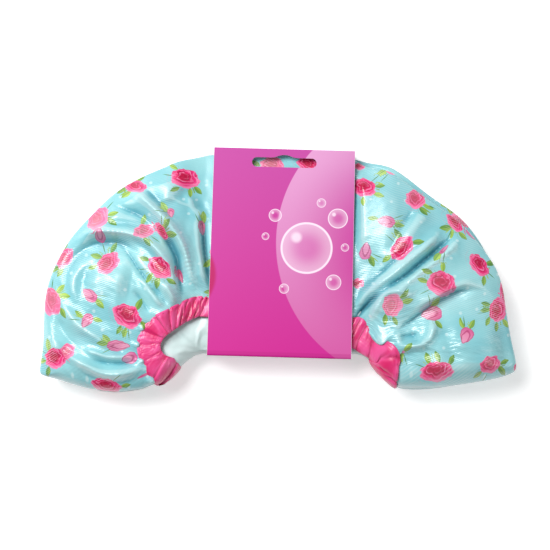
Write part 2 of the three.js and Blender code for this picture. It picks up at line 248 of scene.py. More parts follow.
# %% [markdown]
# ## The floor
# A studio sweep is out of sight in a view from above, so the floor is one wide plane. It could be left out
# for a plain white world, but then the object would cast no shadow. To the camera the plane adds a little
# white of its own, so that it comes out white beside the object and only the shadow is seen.

# %% Floor
FLOOR_SIZE = 8.0
FLOOR_DROP = 0.2 * MM
FLOOR_GLOW = 0.46
WORLD_LIGHT = 0.17

bpy.ops.mesh.primitive_plane_add(size=FLOOR_SIZE, location=(0, 0, -FLOOR_DROP))
floor = bpy.context.object
floor.name = "floor"
material, start, shader = new_material(
    "white_floor",
    Base_Color=colour(238, 238, 238),
    Roughness=0.9,
    Specular_IOR_Level=0.0,
    Emission_Strength=FLOOR_GLOW,
)
ways = ("Is Camera Ray", "Is Glossy Ray", "Is Transmission Ray")
camera_ray, glossy_ray, clear_ray = (start.node("ShaderNodeLightPath", None, None, way) for way in ways)
seen = (camera_ray + glossy_ray + clear_ray).clamp()
feed(shader, "Emission Color", seen.mix((0, 0, 0, 1), (1, 1, 1, 1)))
floor.data.materials.append(material)

world = bpy.data.worlds.new("world")
bpy.context.scene.world = world
world.use_nodes = True
background = world.node_tree.nodes["Background"]
background.inputs["Color"].default_value = (1, 1, 1, 1)
background.inputs["Strength"].default_value = WORLD_LIGHT
bpy.context.scene.view_settings.view_transform = "Standard"
print("floor of", FLOOR_SIZE, "m, world light", WORLD_LIGHT)

# %% [markdown]
# ## The cap's form
# The cap is drawn flat first, as it lies before it is folded: the crown below, the mouth above, and the
# cloth running in gathers from the ring to the outer edge. That flat form is bent round the fold line and
# pressed by the card. It could be simulated from a cut circle, but the folds of this one cap are known from
# its picture, so formulas with a few sizes place the cloth, and drawn fold lines shape it.

# %% Sizes of the cap
CAP_HALF_WIDTH = 156 * MM
CAP_HALF_LENGTH = 162 * MM
EDGE_SQUARENESS = 2.25  # power of the outer edge's curve, where 2 is an ellipse
EDGE_CROWDING = 0.3  # how far the gathers crowd to the sides
CAP_PUFF = 8.5 * MM  # height of the mouth side over the middle plane
CROWN_DEPTH = 5.2 * MM  # depth of the crown under it
CROWN_SILL = 4.6 * MM  # height of the crown where it is bent over the fold
SILL_SPREAD = 62 * MM
SILL_HALF_WIDTH = 105 * MM
CLOTH = 1.2 * MM  # shell, lining and the air between them
MOUTH_OFFSET = -4 * MM
RIM_HEIGHT = 6.5 * MM
TAPE_WIDTH = 15 * MM
FOLD_RADIUS = 6.5 * MM
GATHER_LEAN = 0.6  # how far a gather leaves the ring square to it
CREST = 0.4  # where the mouth side is highest, as a share from ring to edge
TALLEST_GATHER = 4.5 * MM
PRESSED_GATHER = 0.35  # share of a gather's height that the card leaves
EDGE_FLATTEN = 0.65  # share of the free height that is left at the outer edge
FLATTEN_START = 40 * MM
print("the flat cap is", round(2 * CAP_HALF_WIDTH / MM), "by", round(2 * CAP_HALF_LENGTH / MM), "mm")

# %% [markdown]
# The sleeve is one card blank, creased and glued to a flat band. Its solid is already right, so only its
# sizes are needed here, to press the cloth inside it. Its place comes from the frame: the middle of the
# card's box is the sleeve's middle.

# %% Sizes of the sleeve
card_low, card_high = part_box("card_sleeve")
CARD_WIDTH = 93 * MM
CARD_HEIGHT = 137 * MM
CARD_WALL = 0.5 * MM
SLEEVE_DEPTH_AT_FOLD = 28 * MM
SLEEVE_DEPTH_AT_EDGE = 17 * MM
SLEEVE_TURN = math.radians(-1.6)
SLEEVE_FOOT = 12.5 * MM
SLEEVE_EASE = 0.5 * MM
CARD_EASE = 1.4 * MM
LAP_GLUE = 0.3 * MM
INSIDE_FLOOR = 2 * CARD_WALL + LAP_GLUE + SLEEVE_EASE
SQUEEZE_LEAD = 4 * MM
SQUEEZE_RUNOUT = 28 * MM
SLEEVE_MIDDLE = np.array([(card_low.x + card_high.x) / 2, (card_low.y + card_high.y) / 2])
FOLD_LINE_Y = SLEEVE_MIDDLE[1] - SLEEVE_FOOT - CARD_HEIGHT / 2  # where the fold line of the free cap lies
print("sleeve middle, mm:", (SLEEVE_MIDDLE / MM).round(2), "fold line y, mm:", round(FOLD_LINE_Y / MM, 2))


# %% [markdown]
# The mouth's elastic ring lies on the flat cap as a line drawn in millimetres, from its right end at the
# fold line over the front half to its left end. The back half is its mirror image. An ellipse would be
# simpler, but the ring's ends bend in a way of their own, so a smooth curve runs through points.

# %% The ring of the mouth
RING = [
    (70.5, 0), (70.5, 4), (70, 8), (68, 11.5), (63, 14), (56, 15.6), (48, 18.5), (30, 25), (8, 31), (-20, 35),
    (-44, 37.2), (-56, 38.6), (-66, 39.2), (-74, 37.6), (-80, 33), (-83.2, 26), (-82.6, 19.5), (-80, 14),
    (-76, 9), (-72.5, 4.5), (-71, 0),
]


def smooth_path(points, count=48):
    """A smooth curve through listed points, as a given count of points."""
    p = np.array(points, float)
    p = np.vstack([2 * p[0] - p[1], p, 2 * p[-1] - p[-2]])
    spans = len(p) - 3
    u = np.linspace(0, spans - 1e-9, count)
    i = u.astype(int)
    s = (u - i)[:, None]
    a, b, c, d = p[i], p[i + 1], p[i + 2], p[i + 3]
    return 0.5 * (2 * b + (c - a) * s + (2 * a - 5 * b + 4 * c - d) * s**2 + (3 * b - a - 3 * c + d) * s**3)


RING_LINE = smooth_path(RING, 1200) * MM
RING_RUN = np.concatenate([[0], np.cumsum(np.linalg.norm(np.diff(RING_LINE, axis=0), axis=1))])
print("half of the mouth's ring, mm:", round(RING_RUN[-1] / MM, 1))
RING_RUN = RING_RUN / RING_RUN[-1]


# %% [markdown]
# Drawn flat, the cloth has two borders: the ring, gathered, and the outer edge, where it turns over to the
# crown. A place round the cap is given by one angle on both. A few helpers first, because every formula
# below uses them.

# %% Ring and edge
def smoothstep(x, low, high):
    s = np.clip((x - low) / (high - low), 0, 1)
    return s * s * (3 - 2 * s)


def blend(a, b, share):
    return a + (b - a) * share


def ring_point(t):
    """The ring's centre line on the cap's middle plane, at angles t: the drawn line and its mirror image."""
    at = np.mod(t, 2 * math.pi)
    back = at > math.pi
    run = np.where(back, 2 * math.pi - at, at) / math.pi
    x = np.interp(run, RING_RUN, RING_LINE[:, 0])
    y = np.interp(run, RING_RUN, RING_LINE[:, 1])
    return np.stack([x, np.where(back, -y, y)], -1)


def edge_point(t):
    """The outer edge that the ring's angle t is gathered from."""
    a = t - EDGE_CROWDING * np.sin(2 * t)
    power = 2 / EDGE_SQUARENESS
    x = np.sign(np.cos(a)) * np.abs(np.cos(a)) ** power
    y = np.sign(np.sin(a)) * np.abs(np.sin(a)) ** power
    return np.stack([CAP_HALF_WIDTH * x, CAP_HALF_LENGTH * y], -1)


def unit(v):
    return v / np.linalg.norm(v, axis=-1, keepdims=True)


for border in (ring_point, edge_point):
    print(border.__name__, "at a quarter turn, mm:", (border(np.array([math.pi / 2]))[0] / MM).round(1))


# %% [markdown]
# Gathered cloth runs from the ring to the outer edge in lines that leave the ring nearly square to it and
# then spread. A straight line would cross its neighbours at the ring's ends, so each is a Bezier curve, cut
# up evenly by its length.

# %% Lines from ring to edge
LINE_POINTS = 129


def gather_lines(t, share):
    """Points, directions and lengths of the lines from ring to edge, at shares of their length, per angle."""
    step = 0.01
    ring, edge = ring_point(t), edge_point(t)
    along = unit(ring_point(t + step) - ring_point(t - step))
    across = np.stack([along[:, 1], -along[:, 0]], -1)
    chord = edge - ring
    reach = np.linalg.norm(chord, axis=1, keepdims=True) / 3
    leave = unit(unit(chord) + GATHER_LEAN * across)
    c1, c2 = ring + leave * reach, edge - unit(edge) * reach
    s = np.linspace(0, 1, LINE_POINTS)[None, :, None]
    path = (
        ring[:, None] * (1 - s) ** 3
        + 3 * c1[:, None] * s * (1 - s) ** 2
        + 3 * c2[:, None] * s * s * (1 - s)
        + edge[:, None] * s ** 3
    )
    steps = np.linalg.norm(np.diff(path, axis=1), axis=2)
    run = np.concatenate([np.zeros((len(t), 1)), np.cumsum(steps, 1)], 1)
    length = run[:, -1]
    points = np.empty(share.shape + (2,))
    heads = np.empty(share.shape + (2,))
    tangents = unit(np.gradient(path, axis=1))
    for c in range(len(t)):
        where = share[c] * length[c]
        for k in range(2):
            points[c, :, k] = np.interp(where, run[c], path[c, :, k])
            heads[c, :, k] = np.interp(where, run[c], tangents[c, :, k])
    return points, unit(heads), length


line_lengths = gather_lines(np.linspace(0, 6, 7), np.zeros((7, 1)))[2]
print("lines from ring to edge, mm:", (line_lengths / MM).round(0))


# %% [markdown]
# Folding bends the flat form round the fold line, with the mouth outermost. Pressing squeezes what lies in
# the sleeve to the height that the card leaves, and lets it swell to its free height beside the card.
# Modifiers could bend the mesh, but the tape has to follow the very same bend, so one function places both.

# %% Folding and pressing
INSIDE_FOOT = SLEEVE_FOOT + CARD_WALL + 2 * SLEEVE_EASE  # the film lies between the cloth and the card's foot
INSIDE_LENGTH = CARD_HEIGHT - 2 * CARD_WALL - 3 * SLEEVE_EASE
FOLD_ARC = FOLD_RADIUS * math.pi / 2
FREE_TOP = FOLD_RADIUS + CAP_HALF_LENGTH - FOLD_ARC
FREE_HALF_STACK = FOLD_RADIUS + CAP_PUFF + TALLEST_GATHER
HELD_HALF_STACK = FOLD_RADIUS + CAP_PUFF + PRESSED_GATHER * TALLEST_GATHER


def freedom(sideways):
    """0 under the card, 1 where the cap swells freely beside it."""
    beside = np.abs(sideways - SLEEVE_MIDDLE[0]) - CARD_WIDTH / 2 - SQUEEZE_LEAD
    return smoothstep(beside, 0, SQUEEZE_RUNOUT)


def turned(p, angle):
    """Points in the plane, turned about the sleeve's middle."""
    middle = np.array([SLEEVE_MIDDLE[0], SLEEVE_FOOT + CARD_HEIGHT / 2])
    d = p - middle
    c, s = math.cos(angle), math.sin(angle)
    return np.stack([c * d[..., 0] - s * d[..., 1], s * d[..., 0] + c * d[..., 1]], -1) + middle


def placed(p):
    """Where points of the flat cap come to lie: folded, pressed and moved to the fold line's place."""
    reach = np.abs(p[..., 1])
    side = np.where(p[..., 1] < 0, -1.0, 1.0)
    angle = np.minimum(reach, FOLD_ARC) / FOLD_RADIUS
    radius = FOLD_RADIUS + p[..., 2]
    y = FOLD_RADIUS - radius * np.cos(angle) + np.maximum(0, reach - FOLD_ARC)
    z = side * radius * np.sin(angle)
    flat = turned(np.stack([p[..., 0], y], -1), -SLEEVE_TURN)
    squeeze = 1 - freedom(flat[..., 0])
    share = (flat[..., 1] + CROWN_SILL) / (FREE_TOP + CROWN_SILL)
    y = blend(flat[..., 1], INSIDE_FOOT + share * INSIDE_LENGTH, squeeze)
    free = (z + FREE_HALF_STACK) * blend(1, EDGE_FLATTEN, smoothstep(y, FLATTEN_START, FREE_TOP))
    depth = blend(SLEEVE_DEPTH_AT_FOLD, SLEEVE_DEPTH_AT_EDGE, (y - SLEEVE_FOOT) / CARD_HEIGHT)
    room = depth - CARD_WALL - SLEEVE_EASE - CARD_EASE - INSIDE_FLOOR
    held = INSIDE_FLOOR + (0.5 + z / (2 * HELD_HALF_STACK)) * room
    out = turned(np.stack([flat[..., 0], y], -1), SLEEVE_TURN)
    return np.stack([out[..., 0], out[..., 1] + FOLD_LINE_Y, blend(free, held, squeeze)], -1)


print("free height at the fold, mm:", round(2 * FREE_HALF_STACK / MM, 1))


# %% [markdown]
# ## Gathers
# Where the elastic draws the rim up, the cloth stands in many small gathers that die out on the way to the
# edge. Equal waves would look like a machine's, so each wave's phase wanders. All chances in this lesson
# come from one seed.

# %% Gathers
rng = np.random.default_rng(7)
GATHERS = 15
HEM_GATHERS = 90
HEM_GATHER = 1.1 * MM


def gather_wave(t):
    """An uneven wave round the ring, about from -1 to 1."""
    phase = GATHERS * t + 1.3 * np.sin(2 * t + 0.4) + 0.8 * np.sin(5 * t + 1.7)
    return 0.7 * np.cos(phase) + 0.3 * np.cos(2.17 * phase + 1.1 * np.sin(3 * t))


def fine_wave(t, f):
    """Small wrinkles that run from the ring and die out."""
    total = 0
    for k in range(24, 64, 5):
        turn = rng.uniform(0, 2 * math.pi)
        drift = rng.uniform(-3, 3)
        total = total + np.cos(k * t + turn + drift * f + 0.8 * np.sin(5 * f + turn))
    return total / 4


print(GATHERS, "gathers and", HEM_GATHERS, "small ones at the seam")

# %% [markdown]
# ## Fold lines
# Further out a few large folds take over, and they make the cap look like this one. They could be sculpted
# by hand, but lines can be read and moved: each is drawn over the cap in millimetres of the shared frame,
# with a height, and a width on its left and right. A ridge has a positive height, a valley a negative one.
# A sharp ridge is drawn twice, as a broad swell and as a narrow crest on the same line.

# %% Folds of the left side
MAIN_RIDGE = [
    (-98, 54), (-92, 50), (-86, 45), (-80, 39.5), (-74, 34), (-66, 23.7), (-60.5, 12.6), (-57, -2),
    (-53, -13),
]
LEFT_FOLDS = [
    # height, width on the left of the line, width on its right, points
    (7.0, 5.0, 6.0, MAIN_RIDGE),
    (-10.0, 6.0, 1.4, [(-80, 30), (-75, 24), (-71.6, 18), (-69, 13.4), (-67, 8.7), (-66, 3), (-65, -3),
                       (-63.6, -10.3), (-62.5, -20)]),
    (2.2, 1.6, 1.8, MAIN_RIDGE),
    (1.8, 1.6, 1.6, [(-140, 14), (-130, 21.5), (-118, 24.5), (-104, 24.5), (-94, 22.5), (-86, 19),
                     (-78, 12.5), (-71, 3)]),
    (1.6, 1.4, 1.6, [(-78, 44), (-71, 47), (-62, 43.5), (-54, 40)]),
    (-3.5, 5.0, 2.0, [(-90, 55), (-82, 48), (-76, 42), (-71, 36), (-66, 30)]),
    (6.0, 4.0, 3.0, [(-142, 8), (-133, 18), (-124, 23), (-112, 24), (-100, 23.5), (-92, 22), (-87, 20.5),
                     (-82, 17), (-77, 12), (-72, 6), (-68, -1), (-65.5, -9), (-63, -20)]),
    (-5.5, 4.0, 11.0, [(-142, -4), (-136, 5), (-129, 12), (-120, 16.5), (-110, 18), (-101, 17), (-94, 13.5),
                       (-88, 8)]),
    (5.0, 6.0, 12.0, [(-136, 4), (-128, 17), (-119, 29), (-108, 39), (-96, 47), (-86, 53)]),
    (-3.5, 3.5, 4.0, [(-114, 42), (-104, 41), (-95, 38), (-87, 33.5), (-80, 28)]),
    (2.0, 3.0, 3.0, [(-112, 35), (-102, 34), (-92, 32.5), (-83, 29)]),
    (2.5, 3.0, 4.0, [(-128, -22), (-131, -14), (-131, -6), (-127, 1), (-120, 6), (-113, 9)]),
    (4.5, 12.0, 12.0, [(-125, -6), (-108, -8), (-95, -10)]),
    (-4.5, 2.5, 1.6, [(-102, 16), (-96, 9), (-90, 0.5), (-84, -8), (-78, -16), (-74, -23)]),
    (3.0, 2.5, 2.5, [(-88, -5), (-83, -11), (-78, -18), (-74, -25)]),
    (2.5, 2.0, 2.0, [(-73, -8), (-69, -15), (-66, -23)]),
    (-2.5, 2.0, 2.0, [(-80, -9), (-75, -17), (-71, -24)]),
    (-2.5, 2.0, 2.0, [(-93, -13), (-87, -21), (-82, -28)]),
    (4.0, 4.0, 4.0, [(-141, -18), (-135, -27), (-128, -35), (-119, -41.5), (-109, -48), (-100, -50)]),
    (3.2, 2.5, 2.5, [(-124, -50), (-118, -53), (-108, -56), (-98, -56), (-90, -54)]),
    (-4.0, 2.5, 2.5, [(-120, -57), (-112, -59.5), (-104, -60.5), (-96, -60), (-89, -58.5)]),
    (5.0, 3.0, 3.5, [(-138, -52), (-130, -57.5), (-122, -61.5), (-113, -66), (-104, -67.5), (-95, -66),
                     (-86, -62.5)]),
    (3.5, 5.0, 5.0, [(-152, -26), (-149, -38), (-144, -47), (-137, -53.5)]),
    (-2.0, 6.0, 6.0, [(-143, -30), (-136, -42), (-126, -52)]),
    (-2.5, 5.0, 4.0, [(-128, -65), (-115, -70), (-100, -72), (-86, -68)]),
    (4.5, 1.2, 9.0, [(-52.5, 42), (-52, 31), (-51.4, 21.4), (-50.2, 11), (-48.6, 1.6), (-47, -6.4),
                     (-45.5, -16)]),
    (-5.0, 3.0, 1.0, [(-50, 40), (-49.6, 31), (-49.2, 21), (-48.2, 11), (-46.8, 1.6), (-45.4, -6.4),
                      (-44, -16)]),
    (2.5, 2.0, 3.0, [(-61, 51), (-57, 45), (-54.5, 40), (-50, 37.5), (-44, 33)]),
    (4.0, 10.0, 10.0, [(-84, 64), (-75, 56), (-66, 46)]),
]
print(len(LEFT_FOLDS), "fold lines on the left")

# %% [markdown]
# On the right the folds fan out from the card's edge, where the cloth comes out between the card and the
# end of the tape. Two more lines lie inside the mouth, on the crown. Their numbers mean the same as above.

# %% Folds of the right side and the crown
UPPER_RAY = [(57, -19), (66, -9), (76, -1), (87, 8), (98, 17), (106, 26)]
LOWER_RAY = [(72, -17), (82, -9), (92, -1), (102, 6), (112, 14), (120, 22)]
RIGHT_FOLDS = [
    (1.6, 1.4, 1.6, UPPER_RAY),
    (1.6, 1.4, 1.6, LOWER_RAY),
    (1.8, 1.4, 1.6, [(58, -37), (62, -26), (66, -18), (72, -14.5), (80, -15.5)]),
    (-4.5, 3.0, 1.2, [(56, -14), (63, -6), (70, 0.5), (76, 6), (82, 10), (90, 16)]),
    (4.5, 5.0, 5.0, UPPER_RAY),
    (-6.0, 3.0, 1.2, [(60, -22), (68, -14), (76, -8.5), (85, -2.5), (92, 3.5), (100, 10), (108, 17),
                      (114, 22)]),
    (5.0, 2.5, 12.0, LOWER_RAY),
    (-6.0, 1.6, 1.4, [(50, -33), (54, -27), (60, -21), (66, -15)]),
    (4.0, 3.0, 3.0, [(50, -25), (55, -18), (62, -10), (70, -2)]),
    (6.5, 4.0, 7.0, [(59, -38), (62, -27), (66, -18), (72, -14), (80, -15), (88, -17)]),
    (-5.0, 1.6, 8.0, [(74, -42), (82, -35), (90, -29), (98, -23), (107, -17), (117, -13.5), (126, -13)]),
    (4.0, 8.0, 2.5, [(84, -28), (93, -22), (102, -17.5), (112, -12), (122, -9.5), (134, -12)]),
    (4.5, 3.0, 3.0, [(74, -47.5), (82, -49), (90, -48), (96, -44), (98.5, -37), (97, -31)]),
    (-4.0, 4.0, 4.0, [(77, -43), (84, -43), (90, -41)]),
    (2.5, 8.0, 8.0, [(84, -54), (96, -57), (110, -58)]),
    (2.0, 6.0, 8.0, [(118, 28), (128, 10), (136, -8), (143, -28)]),
    (-2.0, 6.0, 6.0, [(146, -38), (150, -50), (152, -60)]),
    (3.0, 12.0, 14.0, [(108, -50), (125, -46), (146, -42)]),
    (-3.0, 4.0, 5.0, [(90, 42), (82, 31), (76, 20), (70, 8)]),
    (3.0, 5.0, 6.0, [(102, 42), (93, 33), (86, 24), (80, 14)]),
    (6.0, 17.0, 4.0, [(54, 72), (55, 55), (55.5, 38), (55.5, 22), (54, 4)]),
    (4.0, 14.0, 10.0, [(92, -62), (118, -60), (146, -55)]),
]
CROWN_FOLDS = [
    (1.3, 2.0, 6.0, [(-42, -31), (-52, -41), (-62, -51), (-74, -60)]),
    (-0.8, 4.0, 4.0, [(-48, -46), (-58, -54), (-66, -62)]),
]
print(len(RIGHT_FOLDS), "fold lines on the right,", len(CROWN_FOLDS), "on the crown")


# %% [markdown]
# A fold's height at a place follows from the distance to its line. A ridge is rounded on top, because the
# cloth bends over air, and a valley is sharp, because there two bends of the cloth meet. Both taper off at
# the ends of the line.

# %% Heights of the folds
FOLD_TAPER = 0.3  # share of a line at each end over which its fold rises


def fold_heights(x, y, folds):
    """The sum of the fold lines at places x, y, in metres."""
    total = np.zeros(x.shape)
    here = np.stack([x.ravel(), y.ravel()], -1)
    for height, left, right, points in folds:
        path = smooth_path(points) * MM
        reach = 3 * max(left, right) * MM
        near = np.all((here > path.min(0) - reach) & (here < path.max(0) + reach), axis=1)
        away = here[near][:, None] - path[None]
        apart = np.linalg.norm(away, axis=2)
        k = apart.argmin(1)
        heads = unit(np.gradient(path, axis=0))[k]
        off = away[np.arange(len(k)), k]
        side = heads[:, 0] * off[:, 1] - heads[:, 1] * off[:, 0]
        width = np.where(side > 0, left, right) * MM
        u = k / (len(path) - 1)
        taper = smoothstep(u, -0.05, FOLD_TAPER) * smoothstep(1 - u, -0.05, FOLD_TAPER)
        d = apart.min(1) / width
        shape = np.exp(-(d**1.6)) if height > 0 else np.exp(-1.3 * d**1.2)
        total.ravel()[near] += height * MM * taper * shape
    return total


ridge_top = smooth_path(MAIN_RIDGE)[24] * MM
print("height of the main ridge, mm:", (fold_heights(*ridge_top[:, None], LEFT_FOLDS) / MM).round(1))


# %% [markdown]
# Between the folds the cloth has small wrinkles that nobody would draw one by one. A bump map could give
# them, but the sheen of satin shows true bends best, so they are a sum of waves with sharp crests, added to
# the mesh.

# %% Wrinkles
WRINKLE = 0.35 * MM


def wrinkles(t, f):
    """Uneven small wrinkles between the folds, drawn out along the gathers."""
    total = 0
    for low, high, size in [(14, 38, 1.0)] * 7 + [(45, 95, 0.45)] * 6:
        turns, reach = rng.uniform(low, high), rng.uniform(2, 7)
        phase, bend = rng.uniform(0, 6.28), rng.uniform(1.5, 3.5)
        wave = np.sin(turns * t + reach * f + bend * np.sin(reach * f * 1.3 + 3 * t + phase) + phase)
        total = total + size * (1 - 1.6 * np.abs(wave))
    return total / 5


print("wrinkles of about", WRINKLE / MM, "mm")


# %% [markdown]
# The cap's outline is uneven: the corners at the fold are lifted, and the upper corners hang in. The
# formulas of the flat cap know nothing of that. One smooth change of the radius, and one lift of the lower
# edge, bring the sheet's outline to the one drawn here, in millimetres of the shared frame.

# %% Outline
OUTLINE = [
    (154, -62), (150, -45), (146, -19), (146, -6), (138.5, 8), (129.5, 21.5), (119.5, 33.3), (111, 40.3),
    (98.5, 46.7), (85.3, 59.4), (74.5, 66.5), (63, 71.5), (52, 75), (0, 79), (-40, 82), (-48, 81), (-56, 76),
    (-62, 73), (-79, 66), (-94, 59.5), (-112, 47), (-123, 34), (-136, 21), (-142, 8), (-149, -6), (-151, -19),
    (-151, -45), (-152.5, -62),
]
OUTLINE_ANGLES = np.linspace(0, math.pi, 91)
ANGLE_REACH = 0.03  # points this near an angle belong to it
RESHAPED_FROM = 0.55  # share of the radius at which the change begins
HELD_BAND = (CARD_WIDTH / 2 - 10 * MM, CARD_WIDTH / 2 + 12 * MM)  # where the card's hold lets go
BACK_PEEK = 0.018  # how much further the back half reaches at the upper right
CORNER_LIFT = [  # x, and how far the lower edge is lifted there
    (-160, 7), (-150, 5.5), (-140, 3), (-125, 0.5), (-107, -1.2), (-88, -1.6), (-76, 0), (80, 0), (97, 1.5),
    (113, 3), (130, 4.5), (160, 6),
]
CORNER_AT = (-152 * MM, 6 * MM)  # the left corner, from the middle of the fold line
CORNER_SPREAD = (8 * MM, 9 * MM)
CORNER_PULL = (1.5 * MM, 6 * MM)  # how far it is drawn out and down to a point


def reshape_outline(grid):
    """Moves the points of a sheet so that its outline from above is the one drawn."""
    x, y = grid[..., 0], grid[..., 1] - FOLD_LINE_Y
    angle, radius, bins = np.arctan2(y, x), np.hypot(x, y), OUTLINE_ANGLES
    reach = np.array([radius[np.abs(angle - b) < ANGLE_REACH].max() for b in bins])
    drawn = np.array(OUTLINE) * MM - [0, FOLD_LINE_Y]
    wanted = np.interp(bins, np.arctan2(drawn[:, 1], drawn[:, 0]), np.hypot(drawn[:, 0], drawn[:, 1]))
    change = np.convolve(np.pad(wanted / reach, 2, "edge"), np.ones(5) / 5, "valid")
    free = smoothstep(np.abs(x - SLEEVE_MIDDLE[0]), *HELD_BAND)
    angle = np.where(angle < -math.pi / 2, math.pi, np.maximum(angle, 0))
    share = smoothstep(radius / np.interp(angle, bins, reach), RESHAPED_FROM, 1.0) * free
    scale = 1 + (np.interp(angle, bins, change) - 1) * share
    peek = smoothstep(angle, 0.35, 0.7) * smoothstep(-angle, -1.45, -1.1) * share
    scale[FRONT_COLUMNS:] += (BACK_PEEK * peek)[FRONT_COLUMNS:]
    scale[:FRONT_COLUMNS] -= (BACK_PEEK / 2 * peek)[:FRONT_COLUMNS]
    off = (x - CORNER_AT[0]) / CORNER_SPREAD[0], (y - CORNER_AT[1]) / CORNER_SPREAD[1]
    drawn_out = np.exp(-(off[0] ** 2) - off[1] ** 2)
    lift = np.array(CORNER_LIFT) * MM
    raised = np.interp(x, lift[:, 0], lift[:, 1]) * smoothstep(-y, -25 * MM, 12 * MM)
    grid[..., 0] = x * scale - CORNER_PULL[0] * drawn_out
    grid[..., 1] = FOLD_LINE_Y + y * scale + raised - CORNER_PULL[1] * drawn_out


print("outline of", len(OUTLINE), "points")


# %% [markdown]
# ## The sheets
# Shell and lining are the same sheet at two depths: a grid of columns round the ring and rows from the seam
# over the mouth side, round the outer edge and in to the crown. A cloth simulation would fold differently
# at each run; a grid keeps the folds where they were drawn. Rows are close together at the seam and at the
# outer edge, where the sheet bends most, and columns are closer on the front half, which is the one that is
# seen.

# %% Rows of the sheet
FRONT_COLUMNS, BACK_COLUMNS = 540, 130
COLUMNS = FRONT_COLUMNS + BACK_COLUMNS
SEAM_ROWS = np.linspace(0, 0.1, 12)
MOUTH_ROWS = np.concatenate([SEAM_ROWS, np.linspace(0.11, 0.92, 82), 1 - np.linspace(0.26, 0, 11) ** 2])
CROWN_ROWS = np.concatenate([1 - np.linspace(0.05, 0.25, 6) ** 2, np.linspace(0.9, 0.05, 26)])
print(COLUMNS, "columns,", len(MOUTH_ROWS), "rows on the mouth side,", len(CROWN_ROWS), "on the crown")


# %% [markdown]
# The mouth side rises from the seam to its crest and falls to the outer edge. On it stand the gathers, the
# small ones at the seam, and the tips: gathers so loose that they hang over the tape. Each of these is one
# more height added up.

# %% The gathered half
SEAM_DEPTH = 2.5 * MM  # how far the cloth reaches into the tape
SEAM_DIP = 1.2 * MM  # how far it dips there
FRONT_GATHER, BACK_GATHER = 0.35, 0.7  # sizes of the gathers, as shares of the tallest
FINE_WRINKLE = 0.6 * MM
TIP_REACH = 1.8 * MM  # how far a gather hangs over the tape
TIP_HEIGHT = 1.6 * MM
TIP_ROW, TIP_ROWS = 0.04, 0.028  # where on the way to the edge, and over what stretch
TIPS_END = (62 * MM, 67 * MM)  # to the right of this the tape is free of them


def rim_height(t):
    """Height of the ring over the middle plane, lower where its left end goes round the fold."""
    return RIM_HEIGHT * (1 - 0.45 * np.exp(-(((t - math.pi) / 0.18) ** 2)))


def mouth_side(t, f):
    """The gathered half of the flat cap, from the seam to the outer edge."""
    _, _, length = gather_lines(t, f)
    lips = ((TAPE_WIDTH / 2 - SEAM_DEPTH) / length)[:, None]
    at, heads, _ = gather_lines(t, lips + (1 - lips) * f)
    fall = np.maximum(0, (f - CREST) / (1 - CREST))
    rise = np.sin(math.pi / 2 * np.minimum(1, f / CREST))
    rim = rim_height(t)[:, None]
    height = (rim + CLOTH / 2 + (CAP_PUFF - rim) * rise) * np.sqrt(1 - fall**2)
    height = height - SEAM_DIP * np.exp(-f / 0.03)
    grip = blend(PRESSED_GATHER, 1, freedom(at[..., 0]))
    fade = np.sin(math.pi * f**0.5) * (1 - 0.5 * f)
    size = np.where(t < math.pi, FRONT_GATHER, BACK_GATHER)[:, None] * TALLEST_GATHER
    height = height + size * fade * grip * gather_wave(t)[:, None]
    hem = np.cos(HEM_GATHERS * t + 2 * np.sin(3 * t))[:, None]
    height = height + HEM_GATHER * hem * np.exp(-f / 0.012)
    height = height + FINE_WRINKLE * grip * fade * np.exp(-3 * f) * fine_wave(t[:, None], f)
    tips = np.maximum(0, np.sin(31 * t + 2 * np.sin(4 * t + 1) + 1.3 * np.sin(7 * t)))[:, None] ** 1.5
    tips = tips * (1 - smoothstep(ring_point(t)[:, 0], *TIPS_END))[:, None]
    over = tips * np.exp(-(((f - TIP_ROW) / TIP_ROWS) ** 2))
    at = at - heads * (TIP_REACH * over)[..., None]
    height = height + TIP_HEIGHT * over
    return np.concatenate([at, height[..., None]], -1)


print("height of the ring at its two ends, mm:", (rim_height(np.array([0, math.pi])) / MM).round(1))


# %% [markdown]
# The crown side is the plain half, from the outer edge in to the middle of the cap. It sags under the
# middle plane, but where it is bent over the fold it swells up to the sill, so that the bend stays open.

# %% The crown half
def crown_side(t, g):
    """The plain half of the flat cap, from the outer edge in to the crown."""
    edge = edge_point(t)[:, None] * g[..., None]
    across = np.maximum(0, 1 - ((edge[..., 0] - MOUTH_OFFSET) / SILL_HALF_WIDTH) ** 4)
    swell = np.exp(-((edge[..., 1] / SILL_SPREAD) ** 2)) * across
    sag = -CROWN_DEPTH * np.sqrt(np.maximum(0, 1 - g**4))
    height = sag + (CROWN_SILL - CLOTH + CROWN_DEPTH) * swell
    return np.concatenate([edge, height[..., None]], -1)


sill = crown_side(np.zeros(1), np.zeros((1, 1)))[0, 0, 2]
print("height of the crown at the fold, mm:", round(sill / MM, 1))


# %% [markdown]
# Now the whole sheet is put together: both halves are folded and pressed, the outline is brought to the
# drawn one, and the folds and wrinkles are added on the front. The place of each point before folding is
# kept as its place on the cut cloth, so that print and weave keep their scale on it. One large gather hangs
# over the tape's right end.

# %% The cloth's grid
LARGE_TIP = 7 * MM
LARGE_TIP_AT = (66 * MM, -40 * MM)
LARGE_TIP_SPREAD = (4.5 * MM, 6 * MM)
CARD_GRIP = 7 * MM  # over this distance from the card a ridge reaches its full height
HELD_RIDGE = 0.25  # share of a ridge's height beside the card's edge


def grid_smooth(height, rounds):
    """Evens a grid of heights, columns closed in a ring, its first and last rows kept."""
    for _ in range(rounds):
        mean = (np.roll(height, 1, 0) + np.roll(height, -1, 0)) / 4
        mean[:, 1:-1] += (height[:, :-2] + height[:, 2:]) / 4
        height[:, 1:-1] = (height[:, 1:-1] + mean[:, 1:-1]) / 2
    return height


